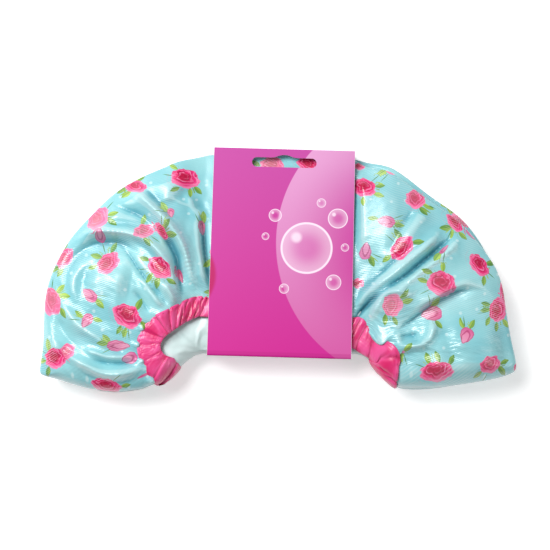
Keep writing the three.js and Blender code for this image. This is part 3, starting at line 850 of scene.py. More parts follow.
def cloth_grid():
    """The shell's points, columns by rows, and the place of each on the cut."""
    front_t = np.linspace(0, math.pi, FRONT_COLUMNS, endpoint=False)
    t = np.concatenate([front_t, np.linspace(math.pi, 2 * math.pi, BACK_COLUMNS, endpoint=False)])
    f = np.tile(MOUTH_ROWS, (COLUMNS, 1))
    g = np.tile(CROWN_ROWS, (COLUMNS, 1))
    mouth, crown = mouth_side(t, f), crown_side(t, g)
    cut = np.concatenate([mouth[..., :2], crown[..., :2] * (2 / np.maximum(g, 0.3) - 1)[..., None]], 1)
    grid = placed(np.concatenate([mouth, crown], 1))
    reshape_outline(grid)
    shown = grid[:, : len(MOUTH_ROWS)]
    beside = np.abs(shown[..., 0] - SLEEVE_MIDDLE[0]) - CARD_WIDTH / 2
    fade = smoothstep(f, 0.0, 0.07) * smoothstep(1 - f, 0.0, 0.15)
    front = (t < math.pi)[:, None]
    lift = fold_heights(shown[..., 0], shown[..., 1], LEFT_FOLDS + RIGHT_FOLDS) * fade * front
    lift = np.where(lift > 0, lift * blend(HELD_RIDGE, 1, smoothstep(beside, 0, CARD_GRIP)), lift)
    shown[..., 2] += grid_smooth(lift, 1) + WRINKLE * wrinkles(t[:, None], f) * fade
    off = [(shown[..., k] - LARGE_TIP_AT[k]) / LARGE_TIP_SPREAD[k] for k in range(2)]
    tip = np.exp(-(off[0] ** 2) - off[1] ** 2) * front
    shown[..., 1] -= LARGE_TIP * tip
    shown[..., 2] += LARGE_TIP / 2 * tip
    inner = grid[:, len(MOUTH_ROWS) :]
    inner[..., 2] += fold_heights(inner[..., 0], inner[..., 1], CROWN_FOLDS) * front
    return grid, cut


def grid_normals(grid):
    """Outward directions of a grid of points, columns closed in a ring."""
    along = np.roll(grid, -1, 0) - np.roll(grid, 1, 0)
    normals = unit(np.cross(np.gradient(grid, axis=1), along))
    middle = FRONT_COLUMNS // 4, len(MOUTH_ROWS) // 2
    return normals if normals[middle][2] > 0 else -normals


cloth, cloth_cut = cloth_grid()
cloth_out = grid_normals(cloth)
print("cloth grid:", cloth.shape[:2])


# %% [markdown]
# A grid of points becomes a mesh by joining neighbours with four-cornered faces. The sheet's columns close
# into a ring, and a fan closes the small hole at the crown. The lining is the same grid, moved in along the
# cloth's normals, which keeps the two apart on every fold. A UV map, in metres, carries the places on the
# cut.

# %% Meshes from grids
LINING_DEPTH = 0.8 * MM


def mesh_object(name, points, faces):
    """A smooth mesh object in the scene."""
    mesh = bpy.data.meshes.new(name)
    mesh.from_pydata([tuple(p) for p in points], [], faces)
    mesh.update()
    mesh.polygons.foreach_set("use_smooth", np.ones(len(mesh.polygons), bool))
    made = bpy.data.objects.new(name, mesh)
    bpy.context.scene.collection.objects.link(made)
    return made


def add_attribute(mesh, name, values):
    """Stores a vector per vertex for the shader."""
    layer = mesh.attributes.new(name, "FLOAT_VECTOR", "POINT")
    layer.data.foreach_set("vector", np.ascontiguousarray(values, np.float32).ravel())


def add_cut(mesh, places):
    """Stores each vertex's place on the cut cloth as a UV map, in metres."""
    layer = mesh.uv_layers.new(name="cut")
    loops = np.empty(len(mesh.loops), np.int32)
    mesh.loops.foreach_get("vertex_index", loops)
    layer.data.foreach_set("uv", places[loops].astype(np.float32).ravel())


def sheet_object(name, depth):
    """One sheet of the cap at a depth under the cloth's face."""
    grid = cloth - cloth_out * depth
    columns, rows = grid.shape[:2]
    index = np.arange(columns * rows).reshape(columns, rows)
    right = np.roll(index, -1, 0)
    quads = np.stack([index[:, :-1], index[:, 1:], right[:, 1:], right[:, :-1]], -1).reshape(-1, 4)
    fan = np.stack([index[:, -1], np.full(columns, columns * rows), right[:, -1]], -1)
    pole = grid[:, -1].mean(0)
    made = mesh_object(name, np.vstack([grid.reshape(-1, 3), pole]), quads.tolist() + fan.tolist())
    add_cut(made.data, np.vstack([cloth_cut.reshape(-1, 2), [[0, 0]]]))
    return made


shell = sheet_object("shell", 0.0)
lining = sheet_object("lining", LINING_DEPTH)
for piece in (shell, lining):
    print(piece.name, len(piece.data.polygons), "faces,", [round(v / MM, 1) for v in piece.dimensions], "mm")

# %% [markdown]
# ## The binding
# The tape is folded over the edge of the cloth and drawn up by the elastic, so it lies in flat little
# pleats with sharp edges, close together on the straight runs and long and smooth at the bends. A wave
# would look like a corrugated pipe, so the pleats have lengths and sizes by chance, each rises slowly and
# drops at its edge, and about a third lie the other way.

# %% Pleats
PLEAT_LEAST, PLEAT_MOST = 2.6 * MM, 9.5 * MM
PLEAT_MIDDLE = 5 * MM  # the longest on a straight run, and the shortest at a bend
RING_MIDDLE = -6 * MM
BEND_START, BEND_FULL = 58 * MM, 72 * MM  # how far from the ring's middle its bends begin
SMOOTH_START = 62 * MM
SMOOTH_OFF_FOLD = (8 * MM, 16 * MM)  # the bends are smooth only at this distance from the fold line
SMOOTH_PLEAT = 0.14  # size of a pleat there
FLIPPED = 0.35


def pleat_profile(place, middle, s):
    """Heights of pleats at places along the ring, and how far in a crease a place is."""
    length = s[-1] + s[1]
    ends = [0.0]
    while ends[-1] < length - PLEAT_MOST:
        x = np.interp(ends[-1], s, middle[:, 0])
        bend = smoothstep(np.abs(x - RING_MIDDLE), BEND_START, BEND_FULL)
        short, long = rng.uniform(PLEAT_LEAST, PLEAT_MIDDLE), rng.uniform(PLEAT_MIDDLE, PLEAT_MOST)
        ends.append(ends[-1] + blend(short, long, bend))
    ends[-1] = length
    ends = np.array(ends)
    x, y = np.interp(ends, s, middle[:, 0]), np.interp(ends, s, np.abs(middle[:, 1]))
    smooth = smoothstep(np.abs(x - RING_MIDDLE), SMOOTH_START, BEND_FULL) * smoothstep(y, *SMOOTH_OFF_FOLD)
    size = rng.uniform(0.6, 1.2, len(ends)) * blend(1, SMOOTH_PLEAT, smooth)
    flip = rng.random(len(ends)) < FLIPPED
    k = np.clip(np.searchsorted(ends, place, side="right") - 1, 0, len(ends) - 2)
    x = (place - ends[k]) / (ends[k + 1] - ends[k])
    x = np.where(flip[k], 1 - x, x)
    saw = x * (1 - smoothstep(x, 0.9, 1.0))
    pillow = 1 - np.abs(2 * x - 1) ** 3
    shape = 0.45 * saw + 0.55 * pillow
    return size[k] * shape, (1 - smoothstep(shape, 0.0, 0.4)) * np.minimum(1, size[k])


print("pleats from", PLEAT_LEAST / MM, "to", PLEAT_MOST / MM, "mm long")


# %% [markdown]
# The tape is swept along the ring from a flat oval section that is open at the outer lip, where the cloth
# goes in. A curve with a bevel would sweep it in one step, but its section could not swell, flap and pleat
# from place to place. At the right end the tape's outer lip stands up in flaps, and its inner lip is wider,
# as it is once more on the left.

# %% Binding
TAPE_COLUMNS = 1300
TAPE_SIDES = 26
TAPE_THICK = 3.4 * MM
SECTION_POWER = 0.55  # below 1 the oval is squarer
PLEAT_HEIGHT = 3.4 * MM
PLEAT_REACH = 0.5 * MM  # how far a pleat widens the tape
# angle and reach round the ring, and size in millimetres
OUTER_FLAPS = [(0.49, 0.1, 4.5), (0.2, 0.055, 5.5), (0.06, 0.07, -1.5)]
INNER_FLAPS = [(0.1, 0.15, 4.6), (0.42, 0.16, 3.2), (2.3, 0.4, 2.3)]
LIP_GAP = 0.25  # half of the gap that the cloth goes in at, as an angle of the section
AROUND = np.linspace(LIP_GAP, 2 * math.pi - LIP_GAP, TAPE_SIDES)


def bumps(t, flaps):
    """Smooth bumps at angles of the ring, in metres."""
    return sum(size * MM * np.exp(-(((t - at) / reach) ** 2)) for at, reach, size in flaps)[:, None]


def tape_grid():
    """The tape's points, along the ring by places round its section, the run along the ring, and crease
    shade.
    """
    t = np.linspace(0, 2 * math.pi, TAPE_COLUMNS, endpoint=False)
    middle = ring_point(t)
    along = unit(np.roll(middle, -1, 0) - np.roll(middle, 1, 0))
    across = np.stack([along[:, 1], -along[:, 0]], -1)
    steps = np.linalg.norm(np.roll(middle, -1, 0) - middle, axis=1)
    s = np.concatenate([[0], np.cumsum(steps)[:-1]])
    d, n = (np.sign(way) * np.abs(way) ** SECTION_POWER for way in (np.cos(AROUND), np.sin(AROUND)))
    slant = 1.6 * MM * np.sin(s / (17 * MM)) + 1.2 * MM * np.sin(s / (7.3 * MM) + 1)
    place = (s[:, None] + slant[:, None] * d[None]) % steps.sum()
    pleat, crease = pleat_profile(place, middle, s)
    flap = bumps(t, OUTER_FLAPS) * (d > 0)
    swell = bumps(t, INNER_FLAPS) * (d < 0)
    wide = d[None] * (TAPE_WIDTH / 2 + swell + flap + PLEAT_REACH * (pleat - 0.5))
    up = n[None] * (TAPE_THICK / 2 + PLEAT_HEIGHT * (pleat - 0.4)) + np.maximum(0, flap) / 2
    flat = middle[:, None] + across[:, None] * wide[..., None]
    return placed(np.concatenate([flat, (rim_height(t)[:, None] + up)[..., None]], -1)), s, crease


def binding_object(name, points, s):
    """The tape's mesh, open along its outer lip, with its run and its width in the UV map."""
    index = np.arange(TAPE_COLUMNS * TAPE_SIDES).reshape(TAPE_COLUMNS, TAPE_SIDES)
    nxt = np.roll(index, -1, 0)
    quads = np.stack([index[:, :-1], nxt[:, :-1], nxt[:, 1:], index[:, 1:]], -1).reshape(-1, 4)
    made = mesh_object(name, points.reshape(-1, 3), quads[:, ::-1].tolist())
    u = np.tile(s[:, None], (1, TAPE_SIDES)).ravel()
    v = np.tile(AROUND[None] / math.pi * TAPE_WIDTH, (TAPE_COLUMNS, 1)).ravel()
    add_cut(made.data, np.stack([u, v], -1))
    return made


tape, tape_run, tape_crease_shade = tape_grid()
binding = binding_object("binding", tape, tape_run)
# How far in a crease each point of the tape lies, for the shade painted into its creases.
add_attribute(binding.data, "crease", np.repeat(tape_crease_shade[..., None], 3, -1).reshape(-1, 3))
tape_area = sum(polygon.area for polygon in binding.data.polygons)
print("tape:", round(tape_run[-1] / MM), "mm round the mouth, area", round(tape_area * 1e4, 1), "square cm")

# %% [markdown]
# ## The seam
# One line of stitches near the tape's outer lip goes through tape, cloth and film. Each stitch that shows
# is a short spindle of thread, pulled a little into the tape at both ends. A bump in the tape's finish
# would be lighter, but thread stands proud of the tape and casts a small shadow, so each stitch is a mesh
# of two points and a ring of six.

# %% Stitches
STITCH_EVERY, STITCH_COLUMNS, STITCH_SIDE = 7, 4, 3  # in columns of the tape, and the place round its section
THREAD = 0.3 * MM
THREAD_SIDES = 6


def stitches_object(name):
    """All stitches as one mesh."""
    starts = np.arange(0, TAPE_COLUMNS - STITCH_COLUMNS, STITCH_EVERY)
    a, b = tape[starts, STITCH_SIDE], tape[starts + STITCH_COLUMNS, STITCH_SIDE]
    out = unit(a - tape[starts].mean(1))
    along = unit(b - a)
    side = unit(np.cross(along, out))
    middle = (a + b) / 2 + out * THREAD
    turn = np.linspace(0, 2 * math.pi, THREAD_SIDES, endpoint=False)[None, :, None]
    ring = middle[:, None] + THREAD * (np.cos(turn) * out[:, None] + np.sin(turn) * side[:, None])
    points = np.concatenate([a[:, None], b[:, None], ring], 1)
    k = np.arange(THREAD_SIDES)
    here, after = 2 + k, 2 + (k + 1) % THREAD_SIDES
    faces = np.concatenate([np.stack([0 * k, here, after], -1), np.stack([0 * k + 1, after, here], -1)])
    first = np.arange(len(starts))[:, None, None] * (2 + THREAD_SIDES)
    return mesh_object(name, points.reshape(-1, 3), (first + faces[None]).reshape(-1, 3).tolist())


stitches = stitches_object("stitches")
print(len(stitches.data.vertices) // (2 + THREAD_SIDES), "stitches")

# %% [markdown]
# ## The printed satin
# A turquoise satin with a scattered print of roses and buds. A repeating tile would be quicker, but a print
# designer places each motif by hand, and this cell lists each one: a place in millimetres of the shared
# frame, two half sizes, an angle, a tone from pale to deep, and the angles at which its leaves stand. A motif
# that a fold turns away is narrower.

# %% Roses and buds of the front
ROSES = [
    (-61, 60.5, 9.3, 6.8, -8, 0.75, (135, 232, 290, 318)), (-93.5, 55, 8, 4.4, -15, 0.55, (60, 195, 225)),
    (-117, 33.5, 8.6, 7, 60, 0.15, (15, 345)), (-138, 7.5, 7.4, 4.8, 55, 0.35, (95, 225, 255)),
    (-109, 4, 8.4, 6.2, 50, 0.5, (75, 150, 195)), (-86.5, 24.7, 6.6, 4.8, 10, 0.45, (290, 95)),
    (-75.5, 25, 6.5, 2.6, -58, 1.0, (50, 340)), (-76, 1, 8.8, 6.2, -38, 0.95, (150, 225, 262, 310)),
    (-146.5, -20.5, 9.8, 7, -70, 0.15, (50, 20, 320)), (-96.5, -30, 9.8, 7.4, -35, 0.65, (240, 262, 45, 330)),
    (-142.5, -57, 7.4, 6.8, 0, 0.95, (120, 190, 240)), (-134.5, -52.5, 5.2, 4.8, 60, 0.3, ()),
    (-110, -74.5, 10, 4.8, -12, 0.8, (0,)), (56.5, 54.5, 7.8, 6.4, -20, 0.95, (5, 330, 265)),
    (90, 46.5, 6.8, 6.6, 0, 0.45, (300, 330)), (80, 14, 9.4, 6, 50, 0.85, (105, 20, 215)),
    (115, 31, 7.4, 4, -55, 0.8, (210, 300, 250)), (129.5, 3, 8.4, 5.4, -55, 0.85, (285, 10)),
    (104.5, -9.5, 9.8, 8.2, -20, 0.55, (170, 140, 85)), (73, -23, 7.6, 6.4, 80, 0.2, (15, 245, 280, 45)),
    (141.5, -26, 8.2, 6.2, 75, 0.8, (155, 185, 225, 262, 300)),
    (101, -65.5, 10.8, 6.8, 5, 0.6, (125, 40, 90)),
    (135, -61, 7.4, 5.6, 20, 0.5, (220, 335, 10)), (52, -8.5, 3.5, 4.2, 90, 0.9, ()),
    (54, 69.5, 4, 2.4, 0, 0.6, ()), (75, 66, 4.4, 2.8, -20, 0.4, (190,)), (-4, 70.5, 8, 5.4, 0, 0.35, (175,)),
    (20.5, 70.5, 8.5, 5.2, -20, 0.8, ()), (146, -16, 8, 2.4, -80, 0.8, ()), (154, -63, 2.4, 2.8, 0, 0.5, ()),
]
BUDS = [
    (-114.5, 22, 4.4, 3.4, 90, 0.4, ()), (-69.5, 37, 3.2, 2.4, -80, 0.7, (140,)),
    (-63.5, -4, 4.6, 1.8, -70, 1.0, ()), (-50, 28, 5, 2.2, -85, 0.8, (80,)),
    (-120.5, -16.5, 5.8, 4, 140, 0.6, (320,)), (-122, -33, 4.8, 3.6, -120, 0.6, (140, 5)),
    (-102, -49, 7, 3.8, 0, 0.5, (170, 150)), (-95, -57, 5, 4, 200, 0.3, ()),
    (70, 31.5, 5.8, 4.2, 170, 0.5, (345, 165)), (57, 12.5, 5.6, 4, 80, 0.0, (300,)),
    (126, 23.5, 4.8, 2.2, -50, 0.3, ()), (107, 13, 4.2, 1.3, 45, 0.6, (225,)),
    (98.5, -28.5, 6.6, 5, 190, 0.8, (70, 300)), (119.5, -42.5, 5.4, 4.6, 240, 0.5, (60, 105)),
    (80, -53, 1, 1, 0, 0, (250, 50)), (-83, -66.5, 8, 0.9, 26, 0.4, ()),
]
print(len(ROSES), "roses and", len(BUDS), "buds on the front")

# %% [markdown]
# The back of the cap, and the band of the front that lies under the card, have the same kind of print, laid
# out by chance on a half-drop grid as printed textiles are. A place that is too near a listed motif stays
# empty.

# %% Motifs by chance
PRINT_CELL = 27
PRINT_GAP = 21  # least distance to a listed motif
ROSE_SHARE = 0.66


def motifs_by_chance(low, high, taken):
    """Roses and buds on a half-drop grid between two corners, away from the taken ones, in millimetres."""
    roses, buds = [], []
    for column, x in enumerate(np.arange(low[0], high[0], PRINT_CELL)):
        for y in np.arange(low[1] + PRINT_CELL / 2 * (column % 2), high[1], PRINT_CELL):
            at = x + rng.uniform(-4, 4), y + rng.uniform(-4, 4)
            turn, tone = rng.uniform(0, 360), rng.uniform(0.1, 1)
            leaves = tuple(turn + step for step in (20, 55, 190, 290)[: rng.integers(2, 5)])
            if any(math.hypot(at[0] - m[0], at[1] - m[1]) < PRINT_GAP for m in taken):
                continue
            if rng.random() < ROSE_SHARE:
                roses.append((*at, rng.uniform(7.5, 9.5), rng.uniform(6.5, 8), turn, tone, leaves))
            else:
                leaves = turn + 150, turn + 210
                buds.append((*at, rng.uniform(5, 6), rng.uniform(3.6, 4.4), turn, tone, leaves))
    return roses, buds


under_roses, under_buds = motifs_by_chance((-38, -70), (48, 78), ROSES + BUDS)
back_roses, back_buds = motifs_by_chance((-150, -52), (150, 78), [])
wrapped = [m for m in ROSES if m[1] < -70]
front_print = ROSES + under_roses, BUDS + under_buds
back_print = back_roses + wrapped, back_buds
print("by chance:", len(under_roses + under_buds), "motifs in front,", len(back_roses + back_buds), "behind")


# %% [markdown]
# Round each motif stand its leaves, and one stalk beside the first leaf. They are motifs too, so that the
# shader finds them in the same way. A leaf starts a little outside the rim of its flower.

# %% Leaves and stalks
LEAF_REACH, LEAF_LENGTH, LEAF_WIDTH = 2.8, 4.2, 1.9
STALK, STALK_LENGTH = 2, 5  # the tone that marks a stalk, and half its length
STALK_REACH, STALK_STAND = 4, 35  # how far outside the rim, and the angle from the first leaf


def leaves_of(motifs):
    """The leaves and stalks round motifs, as motifs of their own."""
    leaves = []
    for x, y, half, width, angle, tone, stands in motifs:
        for stand in stands:
            own = math.radians(stand - angle)
            rim = 1 / math.hypot(math.cos(own) / half, math.sin(own) / width) + LEAF_REACH
            place = x + rim * math.cos(math.radians(stand)), y + rim * math.sin(math.radians(stand))
            size = rng.uniform(0.8, 1.15)
            lean, leaf_tone = rng.uniform(-25, 25), rng.uniform(0, 1)
            leaves.append((*place, LEAF_LENGTH * size, LEAF_WIDTH * size, stand + lean, leaf_tone))
        if stands:
            stand, rim = math.radians(stands[0] + STALK_STAND), width + STALK_REACH
            place = x + rim * math.cos(stand), y + rim * math.sin(stand)
            leaves.append((*place, STALK_LENGTH, LEAF_WIDTH, math.degrees(stand), STALK))
    return leaves


front_leaves, back_leaves = (leaves_of(roses + buds) for roses, buds in (front_print, back_print))
print(len(front_leaves), "leaves and stalks on the front,", len(back_leaves), "on the back")


# %% [markdown]
# The shader has to know where in a motif a point of the cloth lies. An image could say it, but would blur
# on the folds. It is stored on the mesh instead: for each vertex the place in the nearest motif's own axes,
# where 1 is its rim, with its tone, and whether it is a rose. Far from every motif the near value is 0, and
# the shader paints nothing there.

# %% Motif places as attributes
NEAR = 1.6  # in rims of a motif
NEAR_RIM = 2.2  # and no further outside its rim than this, in millimetres
CHANCE_STEP = 0.37  # from one motif's chance to the next


def nearest_motif(x, y, motifs):
    """Places in the nearest motif's axes, and its number, or -1 where none is near."""
    own = np.full(x.shape + (2,), 9.0)
    near = np.full(x.shape, NEAR)
    which = np.full(x.shape, -1)
    for number, (mx, my, half, width, angle, *_) in enumerate(motifs):
        dx, dy = x / MM - mx, y / MM - my
        c, s = math.cos(math.radians(angle)), math.sin(math.radians(angle))
        a, b = (dx * c + dy * s) / half, (dy * c - dx * s) / width
        closer = np.hypot(a, b) < np.minimum(near, 1 + NEAR_RIM / width)
        near[closer] = np.hypot(a, b)[closer]
        own[closer] = np.stack([a, b], -1)[closer]
        which[closer] = number
    return own, which


def shell_attribute(name, values):
    """Stores a grid of vectors on the shell, with zeros at the crown's middle point."""
    add_attribute(shell.data, name, np.vstack([values.reshape(-1, 3), np.zeros((1, 3))]))


place, look, leaf_place = (np.zeros(cloth.shape) for _ in range(3))
front, back = slice(0, FRONT_COLUMNS), slice(FRONT_COLUMNS, COLUMNS)
for half, (roses, buds), leaves in ((front, front_print, front_leaves), (back, back_print, back_leaves)):
    x, y = cloth[half, :, 0], cloth[half, :, 1]
    own, which = nearest_motif(x, y, roses + buds)
    tones = np.array([m[5] for m in roses + buds] + [0])
    kinds = np.array([1.0] * len(roses) + [0.0] * len(buds) + [0])
    place[half] = np.concatenate([own, (which >= 0)[..., None]], -1)
    look[half] = np.stack([tones[which], kinds[which], which * CHANCE_STEP % 1], -1)
    own, which = nearest_motif(x, y, leaves)
    leaf_tones = np.array([m[5] for m in leaves] + [-1])
    leaf_place[half] = np.concatenate([own, leaf_tones[which][..., None]], -1)
for name, values in (("motif", place), ("motif_look", look), ("leaf", leaf_place)):
    shell_attribute(name, values)
print("points of the cloth near a motif:", int(place[..., 2].sum()))

# %% [markdown]
# In a crease satin looks darker and deeper in colour, because light reaches it only from the cloth beside
# it, and on a crest it looks paler. Light bounces would give some of that. To bring it out, shade is painted
# into the creases and a highlight onto the crests, so each point also stores how deep it lies under its
# surroundings, measured against an evened copy of the sheet.

# %% Depth of the creases
EVENING_ROUNDS = 50
EDGE_ROWS = 14  # of the mouth side, where the sheet turns over and depth means nothing

height = cloth[..., 2]
shading_depths = np.zeros(cloth.shape)
shading_depths[..., 0] = (grid_smooth(height.copy(), EVENING_ROUNDS) - height) / MM  # ridges are negative
shading_depths[FRONT_COLUMNS:] = 0
shading_depths[:, len(MOUTH_ROWS) - EDGE_ROWS :] = 0
# These depths drive painted shade in the creases and a painted highlight on the ridges.
shell_attribute("crease", shading_depths)
print("deepest crease, mm:", shading_depths.max().round(1), "highest ridge, mm:", -shading_depths.min().round(1))

# %% [markdown]
# A rose is painted as a water-colour is: petals that wind out from the heart in a spiral, each dark where
# it comes out from under the last and pale at its rim. A bud is three narrow petals. A leaf has a dark rib
# and one darker half. Drawn curves would need an image; formulas of radius and angle stay sharp at any
# distance.

# %% Colours of the print
ROSE_DARK = colour(168, 4, 56)
ROSE_DEEP = colour(222, 14, 82)
ROSE_MID = colour(242, 52, 128)
ROSE_PALE = colour(254, 140, 188)
ROSE_BLUSH = colour(255, 188, 214)
BUD_DARK = colour(150, 40, 96)
BUD_MID = colour(216, 104, 164)
BUD_PALE = colour(242, 178, 210)
LEAF_DARK = colour(86, 140, 62)
LEAF_PALE = colour(180, 214, 96)
SATIN = colour(136, 204, 213)
SATIN_PALE = colour(158, 218, 223)
SATIN_CREASE_SHADE = colour(66, 156, 174)
SATIN_DEEP_SHADE = colour(40, 126, 150)
SATIN_CREST_HIGHLIGHT = colour(206, 238, 238)
DOT_AND_SHEEN = colour(226, 246, 246)
print("the satin's ground tone, linear:", [round(c, 2) for c in SATIN[:3]])


# %% [markdown]
# Each flower is one function from a place in its own axes to a colour and a mask. Chance shifts the waves
# of the petals, so that no two roses are alike, and a noise lets the edges of the paint wander.

# %% Flowers
def far(x, y):
    """Distance from the middle of two axes."""
    return (x * x + y * y) ** 0.5


def rose_paint(a, b, tone, chance, wander):
    """A rose's colour at a place in its own axes, and where it is."""
    x, y = a + 0.1, b - 0.14  # the heart lies off the middle
    r = far(x, y)
    theta = y.maths("ARCTAN2", x)
    wave = (theta * 3 + chance * 20).sin() * 0.13 + (theta * 5 + chance * 33).sin() * 0.07
    turns = r * (1 + wave) * 3.2 - theta / (2 * math.pi) + wander * 1.1
    petal = turns.fract()
    crescent = (theta * 2 + turns.floor() * 2.3 + chance * 11).sin().step(-0.6, 0.4)
    rim = far(a, b) + (theta * 6 + chance * 9).sin() * 0.05
    now = r.step(0.2, 0.8).mix(ROSE_DEEP, ROSE_MID)
    now = paint(now, (r + wander * 1.4).step(0.68, 0.3) * 0.6, ROSE_DARK)
    pale_edge = petal.step(0.5, 0.95) * petal.step(1.0, 0.96) * r.step(0.05, 0.6)
    now = paint(now, pale_edge * (1 - crescent * 0.5), ROSE_PALE)
    dark_root = petal.step(0.5, 0.08) * r.step(1.25, 0.35)
    now = paint(now, dark_root * (crescent * 0.95 + wander).clamp(), ROSE_DARK)
    now = paint(now, (rim - y * 0.25).step(0.78, 1.04) * 0.6, ROSE_PALE)
    return paint(now, (0.72 - tone).clamp() * 0.55, ROSE_BLUSH), rim.step(1.0, 0.93)


def bud_paint(a, b, tone):
    """A bud's colour and shape. Its tip is at a = 1."""
    half = (1 - a * a).clamp() ** 0.5 * (0.95 - a * 0.3)
    shape = (half - abs(b)).step(0.0, 0.12)
    middle = far((a - 0.25) / 0.8, b / 0.5)
    now = (a * 0.5 + 0.5).mix(BUD_MID, BUD_PALE)
    now = paint(now, (half - abs(b)).step(0.3, 0.1) * 0.5, BUD_DARK)
    now = paint(now, abs(middle - 1).step(0.25, 0.05) * 0.6, BUD_DARK)
    now = paint(now, middle.step(0.9, 0.6) * a.step(0.9, 0.2) * 0.35, BUD_PALE)
    return paint(now, tone * 0.4, ROSE_DEEP), shape


def leaf_paint(a, b, tone, wobble):
    """A leaf's or a stalk's colour and shape. A stalk is a narrow leaf without a rib."""
    stalk = tone.step(1.4, 1.6)
    half = (1 - a * a + wobble * 0.3) * (1 - stalk * 0.78)
    shape = (half - abs(b)).step(0.0, 0.15) * tone.step(-0.1, 0.0)
    green = (tone * 0.7 + b.step(-0.15, 0.15) * 0.3).clamp().mix(LEAF_DARK, LEAF_PALE)
    green = paint(green, abs(b).step(0.2, 0.08) * 0.5 + (half - abs(b)).step(0.3, 0.1) * 0.4, LEAF_DARK)
    return paint(green, stalk, LEAF_DARK), shape


print("paint for roses, buds and leaves")


# %% [markdown]
# The cloth itself is woven in twill, which shows as fine slanted lines in the sheen, and is covered with
# faint pale dots. Both are worked out from the place on the cut, so they follow the cloth over its folds.
# The finish is put together from the ground up: ground, painted shade in the creases and a painted
# highlight on the crests, then leaves, buds and roses as they are printed, and on top a painted sheen along
# the twill lines in patches.

# %% The satin material
DOT_CELL = 13 * MM
DOT_WANDER = 6 * MM
TWILL = 1.25 * MM


def faint_dots(start, u, v):
    """Where the faint dots of the print are."""
    row = (v / DOT_CELL).floor()
    along = u / DOT_CELL + (row * 0.5).fract()
    spot = start.vector(along.floor(), row, 0.0)
    chance = start.node("ShaderNodeTexWhiteNoise", {"noise_dimensions": "2D"}, {"Vector": spot}, "Color")
    x = (along.fract() - 0.5) * DOT_CELL + (chance.axis("X") - 0.5) * DOT_WANDER
    y = ((v / DOT_CELL).fract() - 0.5) * DOT_CELL + (chance.axis("Y") - 0.5) * DOT_WANDER
    return far(x, y).step(1.5 * MM, 0.6 * MM) * chance.axis("Z").step(0.35, 0.4)


def satin_material():
    """The printed satin of the shell."""
    material, start, shader = new_material(
        "printed_satin", Sheen_Weight=0.15, Sheen_Roughness=0.4, Specular_IOR_Level=0.75
    )
    cut = start.node("ShaderNodeUVMap", {"uv_map": "cut"})
    u, v = cut.axis("X"), cut.axis("Y")
    wobble, wander = cut.noise(330.0) - 0.5, cut.noise(270.0) - 0.5
    tone = cut.noise(22.0).step(0.3, 0.7).mix(SATIN, SATIN_PALE)
    tone = paint(tone, faint_dots(start, u, v) * 0.5, DOT_AND_SHEEN)
    depth = start.attribute("crease").axis("X")
    # Painted shade in the creases, darker where they are deeper, and a painted highlight on the crests.
    tone = paint(tone, depth.step(0.1, 1.5) * 0.62, SATIN_CREASE_SHADE)
    tone = paint(tone, depth.step(1.2, 2.6) * 0.5, SATIN_DEEP_SHADE)
    tone = paint(tone, depth.step(-0.15, -0.9) * 0.42, SATIN_CREST_HIGHLIGHT)

    leaf = start.attribute("leaf")
    green, blade = leaf_paint(leaf.axis("X"), leaf.axis("Y"), leaf.axis("Z"), wobble)
    tone = paint(tone, blade, green)
    motif, look = start.attribute("motif"), start.attribute("motif_look")
    near = motif.axis("Z").step(0.9, 0.95)
    kind = look.axis("Y").step(0.45, 0.55)
    a, b = motif.axis("X") + wobble * 0.3, motif.axis("Y") + wander * 0.3
    bud, bud_shape = bud_paint(a, b, look.axis("X"))
    rose, rose_shape = rose_paint(a, b, look.axis("X"), look.axis("Z"), wander)
    tone = paint(tone, bud_shape * near * (1 - kind), bud)
    tone = paint(tone, rose_shape * near * kind, rose)

    twill = ((v * 0.94 - u * 0.34) * (2 * math.pi / TWILL)).sin()
    sheen_patches = cut.noise(30.0).step(0.45, 0.65)
    # Painted sheen: in patches the twill lines are painted pale, in the colour of the dots.
    feed(shader, "Base Color", paint(tone, twill.step(0.0, 1.0) * sheen_patches * 0.3, DOT_AND_SHEEN))
    feed(shader, "Normal", (twill * 0.6 + wobble * 0.5).bump(0.4, 0.12 * MM))
    feed(shader, "Roughness", 0.24 + wobble * 0.1)
    return material


shell.data.materials.append(satin_material())
print("printed satin:", len(shell.data.materials[0].node_tree.nodes), "nodes")


# %% [markdown]
# ## The lining and the tape
# The film is pale, smooth and a little milky, and keeps the creases of its packing. It could be made
# see-through, but it lies on the shell's wrong side, so a pale opaque finish under a clear coat looks the
# same and renders faster. The tape is plain hot pink satin with a fine weave across it, with shade painted
# into the creases between its pleats.

# %% Lining and tape materials
FILM, FILM_PALE = colour(202, 228, 227), colour(218, 238, 237)
TAPE, TAPE_PALE, TAPE_CREASE_SHADE = colour(220, 26, 104), colour(242, 88, 156), colour(160, 4, 58)
THREAD_PINK = colour(232, 60, 132)
TAPE_WEAVE = 0.8 * MM


def film_material():
    """The waterproof film of the lining."""
    material, start, shader = new_material("lining_film", Roughness=0.35, Coat_Weight=0.3)
    place = start.node("ShaderNodeTexCoord", None, None, "Object")
    cloud = place.noise(60.0, "3D", Detail=3.0)
    feed(shader, "Base Color", cloud.step(0.3, 0.7).mix(FILM, FILM_PALE))
    crumple = place.noise(46.0, "3D", Detail=1.0, Distortion=0.6)
    feed(shader, "Normal", (cloud * 0.4 - abs(crumple - 0.5).step(0.0, 0.12)).bump(0.3, 3 * MM))
    return material


